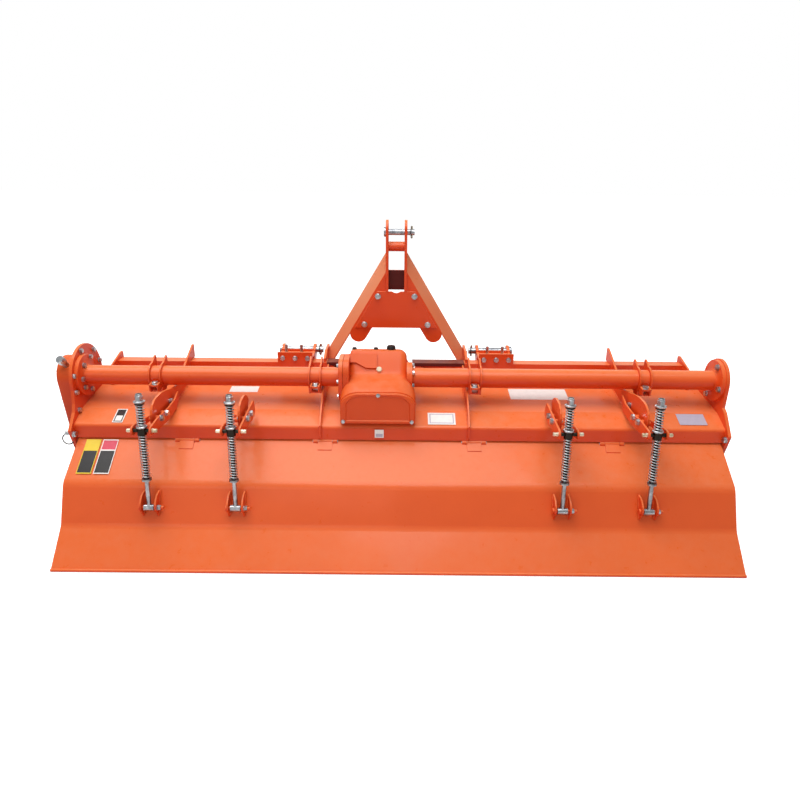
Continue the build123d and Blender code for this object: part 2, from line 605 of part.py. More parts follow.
# Mast head: two ears and the dark channel that joins them
with BuildPart() as mast_head:
    for sign in (-1, 1):
        with BuildSketch(Plane.YZ.offset(sign * EAR_INNER)):
            with BuildLine():
                Polyline(
                    (MAST_Y - 20, MAST_TOP - 38), (MAST_Y - 8, PLATE_HIGH), (MAST_Y + 60, PLATE_HIGH),
                    (MAST_Y + 56, MAST_TOP - 38),
                )
                ThreePointArc(
                    (MAST_Y + 56, MAST_TOP - 38), (MAST_Y + 18, MAST_TOP), (MAST_Y - 20, MAST_TOP - 38)
                )
            make_face()
            with Locations((MAST_Y + 18, TOP_PIN_Z)):
                Circle(TOP_PIN_R + PIN_FIT, mode=Mode.SUBTRACT)
        extrude(amount=sign * EAR_PLATE)
    with Locations((0, MAST_Y + 50, PLATE_HIGH + 41)):
        Box(EAR_GAP, 8, 82)
    with BuildSketch(Plane.YZ.offset(-EAR_INNER)):
        with Locations((MAST_Y + 18, SPACER_Z)):
            Circle(SPACER_R)
            Circle(9, mode=Mode.SUBTRACT)
    extrude(amount=EAR_GAP)
save(mast_head, "mast_head")

# Top link pin, necked beside the ear so that its free end is a plain length
PIN_NECK = 2
PIN_FREE = 28
with BuildPart() as top_link_pin:
    with BuildSketch(Plane.YZ.offset(-EAR_OUTER - 8)):
        with Locations((MAST_Y + 18, TOP_PIN_Z)):
            Circle(TOP_PIN_R)
    extrude(amount=2 * EAR_OUTER + 8 + PIN_NECK + PIN_FREE)
    with BuildSketch(Plane.YZ.offset(EAR_OUTER)):
        with Locations((MAST_Y + 18, TOP_PIN_Z)):
            Circle(TOP_PIN_R)
            Circle(TOP_PIN_R - 1, mode=Mode.SUBTRACT)
    extrude(amount=PIN_NECK, mode=Mode.SUBTRACT)
    with BuildSketch(Plane.YZ.offset(-EAR_OUTER - SEAT)):
        with Locations((MAST_Y + 18, TOP_PIN_Z)):
            Circle(TOP_PIN_R + 7)
    extrude(amount=-8)
save(top_link_pin, "top_link_pin")

# Lower link brackets on the beam, each with its pin
PIN_Y = FRONT_Y + 74
for side, sign in (("left", -1), ("right", 1)):
    mid = sign * HITCH_HALF
    with BuildPart() as hitch_bracket:
        with Locations((mid, BEAM_BACK - SEAT - 5, BEAM_TOP + 34 - 30)):
            Box(HITCH_WIDTH, 10, 60)
        with Locations((mid, (BEAM_BACK - 10 + FRONT_Y + 24) / 2, BEAM_TOP + 29)):
            Box(HITCH_WIDTH, FRONT_Y - BEAM_BACK + 34, 10)
        for cheek in (-1, 1):
            with BuildSketch(Plane.YZ.offset(mid + cheek * (HITCH_WIDTH / 2 - 12))):
                with BuildLine():
                    Polyline(
                        (FRONT_Y + SEAT, BEAM_TOP + 26), (FRONT_Y + SEAT, HOOD_TOP + 3),
                        (PIN_Y, LOWER_PIN_Z - 32),
                    )
                    ThreePointArc(
                        (PIN_Y, LOWER_PIN_Z - 32), (PIN_Y + 32, LOWER_PIN_Z), (PIN_Y, LOWER_PIN_Z + 32)
                    )
                    Polyline((PIN_Y, LOWER_PIN_Z + 32), (FRONT_Y + SEAT, BEAM_TOP + 26))
                make_face()
                with Locations((PIN_Y, LOWER_PIN_Z)):
                    Circle(LOWER_PIN_R + PIN_FIT, mode=Mode.SUBTRACT)
            extrude(amount=cheek * 12)
        with BuildSketch(Plane.YZ.offset(mid - HITCH_WIDTH / 2 + 12)):
            with Locations((PIN_Y, LOWER_PIN_Z)):
                Circle(LOWER_PIN_R + 18)
        extrude(amount=HITCH_WIDTH - 24, mode=Mode.SUBTRACT)
        with BuildSketch(Plane.YZ.offset(mid - HITCH_WIDTH / 2)):
            with Locations((PIN_Y, LOWER_PIN_Z)):
                Circle(LOWER_PIN_R + PIN_FIT)
        extrude(amount=HITCH_WIDTH, mode=Mode.SUBTRACT)
    save(hitch_bracket, f"{side}_hitch_bracket")

    with BuildPart() as lower_link_pin:
        with BuildSketch(Plane.YZ.offset(mid + sign * (HITCH_WIDTH / 2 + 14))):
            with Locations((PIN_Y, LOWER_PIN_Z)):
                Circle(LOWER_PIN_R)
        extrude(amount=-sign * (HITCH_WIDTH + 14 + PIN_NECK + PIN_FREE))
        with BuildSketch(Plane.YZ.offset(mid - sign * HITCH_WIDTH / 2)):
            with Locations((PIN_Y, LOWER_PIN_Z)):
                Circle(LOWER_PIN_R)
                Circle(LOWER_PIN_R - 1, mode=Mode.SUBTRACT)
        extrude(amount=-sign * PIN_NECK, mode=Mode.SUBTRACT)
        with BuildSketch(Plane.YZ.offset(mid + sign * (HITCH_WIDTH / 2 + SEAT))):
            with Locations((PIN_Y, LOWER_PIN_Z)):
                Circle(LOWER_PIN_R + 6)
        extrude(amount=sign * 10)
    save(lower_link_pin, f"{side}_lower_link_pin")

# Depth skids: bent runners bolted outside the side plates
SKID_WIDTH = 40
for side, sign, face in (("left", -1, LEFT_X - SIDE_PLATE), ("right", 1, RIGHT_X + SIDE_PLATE)):
    with BuildPart() as skid:
        with BuildSketch(Plane.YZ.offset(face)):
            with BuildLine():
                FilletPolyline(
                    (ROTOR_Y - 190, 40), (ROTOR_Y - 150, 0), (ROTOR_Y + 190, 0), (ROTOR_Y + 270, 90),
                    radius=30,
                )
                offset(amount=8, side=Side.LEFT)
            make_face()
        extrude(amount=sign * SKID_WIDTH)
        with BuildSketch(Plane.YZ.offset(face)):
            with BuildLine():
                Polyline(
                    (ROTOR_Y - 148, 7), (ROTOR_Y + 186, 7), (ROTOR_Y + 250, 79), (ROTOR_Y + 216, 320),
                    (ROTOR_Y + 160, 320), (ROTOR_Y + 132, 80), (ROTOR_Y - 118, 80), (ROTOR_Y - 138, 325),
                    (ROTOR_Y - 178, 325), (ROTOR_Y - 170, 30), close=True,
                )
            make_face()
        extrude(amount=sign * 8)
    save(skid, f"{side}_skid")

# Rotor shaft: tube, blade flanges and two stubs
SHAFT_GAP = 8
with BuildPart() as rotor_shaft:
    with BuildSketch(Plane.YZ.offset(LEFT_X + SHAFT_GAP)):
        with Locations((ROTOR_Y, ROTOR_Z)):
            Circle(SHAFT_R)
    extrude(amount=HOOD_LENGTH - 2 * SHAFT_GAP)
    with BuildSketch(Plane.YZ.offset(LEFT_X - SIDE_PLATE - CASE_DEPTH + 24)):
        with Locations((ROTOR_Y, ROTOR_Z)):
            Circle(STUB_R)
    extrude(amount=HOOD_LENGTH + 2 * SIDE_PLATE + CASE_DEPTH - 24 + 20)
    flange_xs = []
    FLANGE_PITCH = (HOOD_LENGTH - 2 * 75) / (ROTOR_FLANGES - 1)
    for i in range(ROTOR_FLANGES):
        x = LEFT_X + 75 + i * FLANGE_PITCH
        flange_xs.append(x)
        with BuildSketch(Plane.YZ.offset(x - FLANGE_PLATE / 2)):
            with Locations((ROTOR_Y, ROTOR_Z)):
                Circle(FLANGE_R)
        extrude(amount=FLANGE_PLATE)
save(rotor_shaft, "rotor_shaft")

# Blades: an L bent from flat bar, cut to a swept outline, first built round X at angle 0
FOOT_SWEEP = 62             # how far the tip trails behind the shank
FOOT_R = sqrt(BLADE_TIP_R**2 - FOOT_SWEEP**2)


def blade(hand):
    """One blade beside its flange's face; hand is +1 where the tip reaches along +X."""
    bend = 26
    with BuildPart(mode=Mode.PRIVATE) as bar:
        with BuildSketch(Plane.XZ.offset(-70)):
            with BuildLine():
                FilletPolyline((0, 58), (0, FOOT_R), (hand * BLADE_FOOT, FOOT_R), radius=bend)
                offset(amount=BLADE_THICK, side=Side.RIGHT if hand > 0 else Side.LEFT)
            make_face()
        extrude(amount=140)
    with BuildPart(mode=Mode.PRIVATE) as outline:
        with BuildSketch(Plane.YZ.offset(-BLADE_FOOT - 10)):
            with BuildLine():
                Polyline((-22, 50), (22, 50), (24, 120))
                ThreePointArc((24, 120), (10, 180), (-30, 226))
                Polyline((-30, 226), (-34, 240), (-FOOT_SWEEP, 240), (-FOOT_SWEEP, 208))
                ThreePointArc((-FOOT_SWEEP, 208), (-32, 160), (-22, 100))
                Line((-22, 100), (-22, 50))
            make_face()
        extrude(amount=2 * BLADE_FOOT + 20)
    return bar.part & outline.part


blade_shapes = {hand: blade(hand) for hand in (-1, 1)}
for name, hand in (("left_hand_blades", -1), ("right_hand_blades", 1)):
    with BuildPart() as blades:
        for i, x in enumerate(flange_xs):
            if (i == 0 and hand < 0) or (i == ROTOR_FLANGES - 1 and hand > 0):
                continue
            for k in range(BLADES_PER_FLANGE // 2):
                turn = 360 / BLADES_PER_FLANGE * (2 * k + (hand > 0)) + 18 * i
                face = x + hand * (FLANGE_PLATE / 2 + SEAT)
                place = Location((face, ROTOR_Y, ROTOR_Z), (turn, 0, 0))
                add(blade_shapes[hand].moved(place))
    save(blades, name)

# Trailing board: a sheet with two bends, rolled round the hinge pins, with a rounded lip
BOARD_TOP = (HINGE_Y - 10, HINGE_Z - 4)
board_line = [
    BOARD_TOP, (HOOD_BACK - 154, FLANGE_LOW - 115), (HOOD_BACK - 218, FLANGE_LOW - 257),
    (HOOD_BACK - 335, 3.2),
]
BOARD_LEFT = HOOD_MID_X - BOARD_LENGTH / 2
with BuildPart() as trailing_board:
    with BuildSketch(Plane.YZ.offset(BOARD_LEFT)):
        with BuildLine():
            FilletPolyline(*board_line, radius=60)
            offset(amount=BOARD_SHEET, side=Side.LEFT)
        make_face()
    extrude(amount=BOARD_LENGTH)
    for x in HINGE_OFFSETS:
        with BuildSketch(Plane.YZ.offset(HOOD_MID_X + x - HINGE_LENGTH / 2)):
            with Locations((HINGE_Y, HINGE_Z)):
                Circle(BARREL_R)
            with BuildLine():
                Polyline(
                    (HINGE_Y, HINGE_Z + BARREL_R), (HINGE_Y - 36, HINGE_Z - 18), (HINGE_Y - 36, HINGE_Z - 30),
                    (HINGE_Y, HINGE_Z - BARREL_R), close=True,
                )
            make_face()
            with Locations((HINGE_Y, HINGE_Z)):
                Circle(HINGE_PIN_R + PIN_FIT, mode=Mode.SUBTRACT)
        extrude(amount=HINGE_LENGTH)
save(trailing_board, "trailing_board")

# Lugs on the board that hold each rod's bushing, hooked at the top, with their pins
LUG_HALF = 24
LUG_PLATE = 6


def board_y(z):
    """Rear face of the board's steep panel at height z."""
    (y1, z1), (y2, z2) = board_line[1:3]
    return y1 + (z - z1) * (y2 - y1) / (z2 - z1) - SEAT


with BuildPart() as board_lugs:
    for x in ROD_OFFSETS:
        rod_x = HOOD_MID_X + x
        for side in (-1, 1):
            with BuildSketch(Plane.YZ.offset(rod_x + side * LUG_HALF)):
                with BuildLine():
                    Polyline((board_y(EYE_Z - 30), EYE_Z - 30), (board_y(EYE_Z + 30), EYE_Z + 30))
                    ThreePointArc(
                        (board_y(EYE_Z + 30), EYE_Z + 30), (EYE_Y + 12, EYE_Z + 20), (EYE_Y - 4, EYE_Z + 32)
                    )
                    ThreePointArc((EYE_Y - 4, EYE_Z + 32), (EYE_Y - 18, EYE_Z), (EYE_Y, EYE_Z - 20))
                    Line((EYE_Y, EYE_Z - 20), (board_y(EYE_Z - 30), EYE_Z - 30))
                make_face()
            extrude(amount=side * LUG_PLATE)
        with BuildSketch(Plane.YZ.offset(rod_x - LUG_HALF - LUG_PLATE - 2)):
            with Locations((EYE_Y, EYE_Z)):
                Circle(EYE_PIN_R)
        extrude(amount=2 * LUG_HALF + 2 * LUG_PLATE + 24)
        with BuildSketch(Plane.YZ.offset(rod_x - LUG_HALF - LUG_PLATE)):
            with Locations((EYE_Y, EYE_Z)):
                Circle(EYE_PIN_R + 4)
        extrude(amount=-6)
save(board_lugs, "board_lugs")

# Spring rods: rod with a cross bushing, collar and top nut; trunnion block with its cross pins; springs as
# plain sleeves of the coil's outer size
rod_plane = Plane(origin=(0, EYE_Y, EYE_Z), x_dir=(1, 0, 0), z_dir=(0, TRUNNION_Y - EYE_Y, TRUNNION_Z - EYE_Z))
TRUNNION_HALF_H = 15
for number, x in enumerate(ROD_OFFSETS, start=1):
    rod_x = HOOD_MID_X + x
    base = Plane(origin=(rod_x, EYE_Y, EYE_Z), x_dir=(1, 0, 0), z_dir=rod_plane.z_dir)
    with BuildPart() as spring_rod:
        with BuildSketch(Plane.YZ.offset(rod_x - EYE_HALF)):
            with Locations((EYE_Y, EYE_Z)):
                Circle(EYE_R)
        extrude(amount=2 * EYE_HALF)
        with BuildSketch(base.offset(EYE_R - 3)):
            Circle(ROD_R)
        extrude(amount=ROD_SPAN + ROD_ABOVE - EYE_R + 3)
        collar = ROD_SPAN - TRUNNION_HALF_H - LOWER_SPRING
        with BuildSketch(base.offset(collar - 8)):
            Circle(SPRING_R + 2)
        extrude(amount=8)
        with BuildSketch(base.offset(ROD_SPAN + ROD_ABOVE - 30)):
            RegularPolygon(13, 6)
        extrude(amount=14)
        with BuildSketch(base.offset(ROD_SPAN + ROD_ABOVE - 34)):
            Circle(SPRING_R + 2)
        extrude(amount=4)
        with BuildSketch(Plane.YZ.offset(rod_x - EYE_HALF)):
            with Locations((EYE_Y, EYE_Z)):
                Circle(EYE_PIN_R + EYE_PLAY)
        extrude(amount=2 * EYE_HALF, mode=Mode.SUBTRACT)
    save(spring_rod, f"spring_rod_{number}")

    with BuildPart() as trunnion:
        with BuildSketch(base.offset(ROD_SPAN - TRUNNION_HALF_H)):
            Circle(TRUNNION_BODY_R)
        extrude(amount=2 * TRUNNION_HALF_H)
        with BuildSketch(Plane.YZ.offset(rod_x - 42)):
            with Locations((TRUNNION_Y, TRUNNION_Z)):
                Circle(TRUNNION_PIN_R)
        extrude(amount=84)
        with BuildSketch(base.offset(ROD_SPAN - TRUNNION_HALF_H - 1)):
            Circle(ROD_R + 0.5)
        extrude(amount=2 * TRUNNION_HALF_H + 2, mode=Mode.SUBTRACT)
    save(trunnion, f"trunnion_{number}")

    for name, low, high in (
        ("lower", collar, ROD_SPAN - TRUNNION_HALF_H),
        ("upper", ROD_SPAN + TRUNNION_HALF_H, ROD_SPAN + ROD_ABOVE - 34),
    ):
        with BuildPart() as spring:
            with BuildSketch(base.offset(low + SEAT)):
                Circle(SPRING_R)
                Circle(SPRING_R - 4, mode=Mode.SUBTRACT)
            extrude(amount=high - low - 2 * SEAT)
        save(spring, f"{name}_spring_{number}")
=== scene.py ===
import json
from math import cos, pi, radians, sin, tan

import bmesh
import bpy
from mathutils import Matrix, Vector


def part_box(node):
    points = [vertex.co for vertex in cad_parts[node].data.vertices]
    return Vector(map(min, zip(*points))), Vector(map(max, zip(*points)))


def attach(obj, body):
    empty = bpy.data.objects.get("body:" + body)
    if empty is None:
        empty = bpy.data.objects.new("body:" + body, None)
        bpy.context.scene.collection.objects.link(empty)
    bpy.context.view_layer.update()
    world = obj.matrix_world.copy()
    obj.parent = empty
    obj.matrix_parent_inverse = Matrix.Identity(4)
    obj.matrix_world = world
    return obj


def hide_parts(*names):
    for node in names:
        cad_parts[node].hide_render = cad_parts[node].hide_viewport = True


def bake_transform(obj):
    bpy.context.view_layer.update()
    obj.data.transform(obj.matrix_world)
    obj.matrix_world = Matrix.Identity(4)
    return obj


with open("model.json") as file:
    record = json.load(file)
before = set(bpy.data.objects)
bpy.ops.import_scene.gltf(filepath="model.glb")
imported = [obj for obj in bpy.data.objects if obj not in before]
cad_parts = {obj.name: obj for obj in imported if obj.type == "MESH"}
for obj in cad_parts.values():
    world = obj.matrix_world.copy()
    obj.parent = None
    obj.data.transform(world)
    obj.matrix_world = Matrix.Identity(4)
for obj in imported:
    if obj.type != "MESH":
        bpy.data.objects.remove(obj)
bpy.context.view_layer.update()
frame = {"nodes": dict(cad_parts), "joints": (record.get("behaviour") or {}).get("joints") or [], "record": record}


# Hood, trailing board, beam, ribs, forks and side plates: folded and welded steel sheet and plate,
# 5 to 12 mm thick, sprayed with glossy orange enamel. Wide sheets keep a slight waviness from
# folding and welding, and level faces carry a thin layer of dust. Faces turned up are painted a
# lighter, more orange tint as painted light from above, and faces turned down keep a deeper red as
# painted shade.
def linear(code):
    """Linear colour of an sRGB hex code."""
    parts = [int(code[i:i + 2], 16) / 255 for i in (0, 2, 4)]
    return (*[c / 12.92 if c <= 0.04045 else ((c + 0.055) / 1.055) ** 2.4 for c in parts], 1)


def add_node(tree, kind, inputs, **settings):
    """Adds one node. Each input is a value to set, or a socket or a node's first output to link."""
    node = tree.nodes.new(kind)
    for name, value in settings.items():
        setattr(node, name, value)
    for name, value in inputs.items():
        if isinstance(value, bpy.types.Node):
            value = value.outputs[0]
        if isinstance(value, bpy.types.NodeSocket):
            tree.links.new(value, node.inputs[name])
        else:
            node.inputs[name].default_value = value
    return node


def start_finish(name):
    """An empty material, its tree, and the surface's own coordinates in metres."""
    material = bpy.data.materials.new(name)
    material.use_nodes = True
    tree = material.node_tree
    tree.nodes.clear()
    return material, tree, add_node(tree, "ShaderNodeTexCoord", {}).outputs["Object"]


def enamel(name, color, shade, lit_tint, grain_mm, grain_depth_mm, wave_depth_mm, roughness, coat):
    """Sprayed enamel: drifting tone, painted light on faces turned up, dust, sheet waves and surface grain."""
    material, tree, place = start_finish(name)
    drift = add_node(tree, "ShaderNodeTexNoise", {"Vector": place, "Scale": 2.2, "Detail": 3})
    drift_share = add_node(tree, "ShaderNodeMapRange", {0: drift, 1: 0.38, 2: 0.66})
    tone = add_node(
        tree, "ShaderNodeMix", {0: drift_share, 6: linear(color), 7: linear(shade)}, data_type="RGBA",
    )
    facing = add_node(
        tree, "ShaderNodeSeparateXYZ", {0: add_node(tree, "ShaderNodeNewGeometry", {}).outputs["Normal"]},
    )
    level = add_node(tree, "ShaderNodeMapRange", {0: facing.outputs[2], 1: 0.6, 2: 1.0, 3: 0.0, 4: 0.22})
    # Painted light: faces turned up take on the lighter third colour as if lit from above, and faces turned down
    # keep the deeper red as painted shade.
    painted_light_share = add_node(tree, "ShaderNodeMapRange", {0: facing.outputs[2], 1: -0.1, 2: 1.0, 3: 0.0, 4: 0.65})
    painted_light_tone = add_node(
        tree, "ShaderNodeMix", {0: painted_light_share, 6: tone.outputs[2], 7: linear(lit_tint)}, data_type="RGBA",
    )
    speckle = add_node(
        tree, "ShaderNodeTexNoise", {"Vector": place, "Scale": 28.0, "Detail": 6, "Roughness": 0.7},
    )
    speckle_share = add_node(tree, "ShaderNodeMapRange", {0: speckle, 1: 0.35, 2: 0.7})
    dust = add_node(
        tree, "ShaderNodeMath", {0: level, 1: speckle_share}, operation="MULTIPLY",
    )
    dusty = add_node(
        tree, "ShaderNodeMix", {0: dust, 6: painted_light_tone.outputs[2], 7: linear("DDA080")}, data_type="RGBA",
    )
    gloss = add_node(
        tree, "ShaderNodeMapRange", {0: speckle, 1: 0.3, 2: 0.7, 3: roughness - 0.04, 4: roughness + 0.07},
    )
    gloss_dusty = add_node(tree, "ShaderNodeMath", {0: dust, 1: gloss}, operation="ADD")
    wave = add_node(tree, "ShaderNodeTexNoise", {"Vector": place, "Scale": 3.6, "Detail": 1})
    grain = add_node(tree, "ShaderNodeTexNoise", {"Vector": place, "Scale": 1000 / grain_mm, "Detail": 2})
    wavy = add_node(
        tree, "ShaderNodeBump", {"Strength": 1.0, "Distance": wave_depth_mm / 1000, "Height": wave},
    )
    grained = add_node(
        tree, "ShaderNodeBump",
        {
            "Strength": 1.0, "Distance": grain_depth_mm / 1000, "Height": grain,
            "Normal": wavy,
        },
    )
    shader = add_node(
        tree, "ShaderNodeBsdfPrincipled",
        {
            "Base Color": dusty.outputs[2], "Roughness": gloss_dusty, "IOR": 1.32,
            "Normal": grained, "Coat Weight": coat, "Coat Roughness": 0.1,
            "Coat Normal": wavy,
        },
    )
    add_node(tree, "ShaderNodeOutputMaterial", {"Surface": shader})
    return material


# The orange peel of a sprayed coat is about 3 mm across, drawn at 7 mm so that it shows.
# The third colour is the lighter tint painted on faces turned up as painted light.
orange_enamel = enamel("orange_enamel", "DF4616", "D43A0E", "EC8446", 7, 0.05, 5, 0.3, 0.14)
slot_of = {part["node"]: part["material_slot"] for part in frame["record"]["subparts"]}


def coat_nodes(slot, material):
    """Gives every CAD node of one material slot its finish."""
    for name, piece in frame["nodes"].items():
        if slot_of[name] == slot:
            piece.data.materials.clear()
            piece.data.materials.append(material)


coat_nodes("orange_paint", orange_enamel)

# Gearbox, its cover and lid, gear case and bearing carrier: sand-cast iron under the same orange.
# The sand grain shows through the paint and makes it less glossy. It is about 3 mm across, drawn
# at 5 mm so that it shows.
# The third colour is the lighter tint painted on faces turned up as painted light.
cast_enamel = enamel("cast_iron_enamel", "DA4A18", "CA3E10", "DF6A2C", 5, 0.3, 2, 0.38, 0.08)
coat_nodes("cast_orange", cast_enamel)

# Rotor tube, flanges and blades: forged and welded steel dipped in black paint, with bare streaks
# and soil dust where the blades have rubbed.
black_paint, tree, place = start_finish("black_dip_paint")
soil = add_node(tree, "ShaderNodeTexNoise", {"Vector": place, "Scale": 18.0, "Detail": 7, "Roughness": 0.65})
soil_share = add_node(tree, "ShaderNodeMapRange", {0: soil, 1: 0.48, 2: 0.75, 3: 0.0, 4: 0.55})
tone = add_node(
    tree, "ShaderNodeMix", {0: soil_share, 6: linear("1B1C1E"), 7: linear("4A443D")}, data_type="RGBA",
)
gloss = add_node(tree, "ShaderNodeMapRange", {0: soil, 1: 0.4, 2: 0.7, 3: 0.32, 4: 0.62})
pits = add_node(tree, "ShaderNodeTexNoise", {"Vector": place, "Scale": 240.0, "Detail": 2})
pitted = add_node(tree, "ShaderNodeBump", {"Strength": 1.0, "Distance": 0.0003, "Height": pits})
shader = add_node(
    tree, "ShaderNodeBsdfPrincipled",
    {
        "Base Color": tone.outputs[2], "Roughness": gloss, "IOR": 1.5, "Normal": pitted,
        "Coat Weight": 0.2, "Coat Roughness": 0.25,
    },
)
add_node(tree, "ShaderNodeOutputMaterial", {"Surface": shader})
coat_nodes("black_paint", black_paint)


# Rods, trunnions, hitch pins and hinge pins: turned steel with a zinc plating, cool and slightly
# blotchy, with fine marks left by turning and handling.
def plated_steel(name, bright, dull, roughness, shade_in_springs=False):
    """Plated metal: clouded tone, fine scratches, and painted shade on the rods where they run inside their
    springs.
    """
    material, tree, place = start_finish(name)
    cloud = add_node(
        tree, "ShaderNodeTexNoise", {"Vector": place, "Scale": 45.0, "Detail": 5, "Roughness": 0.6},
    )
    share = add_node(tree, "ShaderNodeMapRange", {0: cloud, 1: 0.4, 2: 0.65})
    tone = add_node(
        tree, "ShaderNodeMix", {0: share, 6: linear(bright), 7: linear(dull)}, data_type="RGBA",
    )
    gloss = add_node(
        tree, "ShaderNodeMapRange", {0: cloud, 1: 0.35, 2: 0.7, 3: roughness - 0.06, 4: roughness + 0.1},
    )
    if shade_in_springs:
        # Painted shade: a dark brown band on the rods between 0.30 and 0.60 m high and behind y = -0.2 m, where
        # they sit in the springs' shadow.
        at = add_node(tree, "ShaderNodeSeparateXYZ", {0: place})
        above = add_node(tree, "ShaderNodeMapRange", {0: at.outputs[2], 1: 0.30, 2: 0.315})
        below = add_node(tree, "ShaderNodeMapRange", {0: at.outputs[2], 1: 0.60, 2: 0.585})
        behind = add_node(tree, "ShaderNodeMapRange", {0: at.outputs[1], 1: -0.20, 2: -0.22})
        span = add_node(tree, "ShaderNodeMath", {0: above, 1: below}, operation="MULTIPLY")
        painted_shade_share = add_node(tree, "ShaderNodeMath", {0: span, 1: behind}, operation="MULTIPLY")
        tone = add_node(
            tree, "ShaderNodeMix", {0: painted_shade_share, 6: tone.outputs[2], 7: linear("39332D")}, data_type="RGBA",
        )
    marks = add_node(tree, "ShaderNodeTexNoise", {"Vector": place, "Scale": 380.0, "Detail": 2})
    marked = add_node(tree, "ShaderNodeBump", {"Strength": 1.0, "Distance": 0.00012, "Height": marks})
    shader = add_node(
        tree, "ShaderNodeBsdfPrincipled",
        {
            "Base Color": tone.outputs[2], "Metallic": 1.0, "Roughness": gloss,
            "Normal": marked,
        },
    )
    add_node(tree, "ShaderNodeOutputMaterial", {"Surface": shader})
    return material


zinc = plated_steel("zinc_plated_steel", "D2D4D6", "9BA0A5", 0.3)
# Rods, trunnions and pins of the CAD model; the rods get painted shade where they run inside their springs.
coat_nodes("zinc_steel", plated_steel("turned_plated_steel", "BFC1C4", "8A8D92", 0.32, True))
bare_steel = plated_steel("machined_bare_steel", "B4B4B2", "8C8B88", 0.26)


# Input shaft: a 35 mm stub with six broached splines, a ring groove for the drive shaft's locking
# balls and a chamfered end, machined bright and left unpainted.
def in_scene(name, data):
    """A new object in the scene that holds a mesh, a lamp or the camera."""
    item = bpy.data.objects.new(name, data)
    bpy.context.scene.collection.objects.link(item)
    return item


def own_piece(name, mesh, material, body):
    """Wraps a finished mesh as a piece that moves with a body."""
    piece = in_scene(name, mesh)
    if material:
        mesh.materials.clear()
        mesh.materials.append(material)
    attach(piece, body)
    return piece


def mesh_of(shell, name):
    """The plain mesh of a finished bmesh."""
    mesh = bpy.data.meshes.new(name)
    shell.to_mesh(mesh)
    shell.free()
    return mesh


def stacked_rings(rings):
    """A closed mesh through rings of points that all have the same count."""
    shell = bmesh.new()
    loops = [[shell.verts.new(point) for point in ring] for ring in rings]
    count = len(loops[0])
    for low, high in zip(loops, loops[1:]):
        for i in range(count):
            shell.faces.new((low[i], low[(i + 1) % count], high[(i + 1) % count], high[i]))
    shell.faces.new(loops[0][::-1])
    shell.faces.new(loops[-1])
    bmesh.ops.recalc_face_normals(shell, faces=shell.faces)
    return mesh_of(shell, "shell")


SPLINES = 6
SPLINE_TIP = 0.01745
SPLINE_ROOT = 0.0147
shaft_low, shaft_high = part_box("input_shaft")
shaft_x = (shaft_low.x + shaft_high.x) / 2
shaft_z = (shaft_low.z + shaft_high.z) / 2
shaft_start = shaft_high.y - 0.078


def spline_ring(y, tip, root):
    """Outline of the splined section at one place along the shaft."""
    ring = []
    for tooth in range(SPLINES):
        for offset, radius in (
            (-22, root), (-15, root), (-14, tip), (0, tip), (14, tip), (15, root), (22, root),
        ):
            a = radians(tooth * 360 / SPLINES + offset)
            ring.append((shaft_x + radius * sin(a), y, shaft_z + radius * cos(a)))
    return ring


SHAFT_STEPS = (
    (0, 0.0174, 0.0174), (0.006, 0.0174, 0.0174), (0.009, SPLINE_TIP, SPLINE_ROOT),
    (0.036, SPLINE_TIP, SPLINE_ROOT), (0.038, 0.0149, 0.0146), (0.045, 0.0149, 0.0146),
    (0.047, SPLINE_TIP, SPLINE_ROOT), (0.075, SPLINE_TIP, SPLINE_ROOT), (0.078, 0.0155, 0.0142),
)
input_shaft = own_piece(
    "splined_input_shaft",
    stacked_rings([spline_ring(shaft_start + step, tip, root) for step, tip, root in SHAFT_STEPS]),
    bare_steel, "input_shaft",
)
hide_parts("input_shaft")


# Coil springs: 4.2 mm wire wound at 31 mm outside and zinc plated. Two ride on each rod, a long one
# that presses the board down and a short one that stops the rebound. Each one sits between the
# trunnion and its rod's collar or top washer.
def start_geometry(name, inputs):
    """A geometry tree with its named inputs; returns the tree and the sockets by name."""
    tree = bpy.data.node_groups.new(name, "GeometryNodeTree")
    for label, kind in inputs:
        tree.interface.new_socket(name=label, in_out="INPUT", socket_type=f"NodeSocket{kind}")
    tree.interface.new_socket(name="Geometry", in_out="OUTPUT", socket_type="NodeSocketGeometry")
    return tree, add_node(tree, "NodeGroupInput", {}).outputs


def close_geometry(tree, geometry, finish):
    """Ends a tree: real geometry with its material."""
    real = add_node(tree, "GeometryNodeRealizeInstances", {0: geometry})
    painted = add_node(tree, "GeometryNodeSetMaterial", {0: real, "Material": finish})
    add_node(tree, "NodeGroupOutput", {0: painted})


def run_tree(tree, mesh, values):
    """Runs a tree on a mesh and returns the plain mesh that it makes."""
    carrier = in_scene("carrier", mesh)
    modifier = carrier.modifiers.new("shape", "NODES")
    modifier.node_group = tree
    for socket in tree.interface.items_tree:
        if socket.in_out == "INPUT" and socket.name in values:
            modifier[socket.identifier] = values[socket.name]
    bpy.context.view_layer.update()
    depsgraph = bpy.context.evaluated_depsgraph_get()
    made = bpy.data.meshes.new_from_object(carrier.evaluated_get(depsgraph))
    bpy.data.objects.remove(carrier)
    return made


def stand_along(mesh, place, direction):
    """Turns a mesh's Z axis to a direction and moves the mesh to a place."""
    turn = Vector(direction).to_track_quat("Z", "Y").to_matrix().to_4x4()
    mesh.transform(Matrix.Translation(place) @ turn)


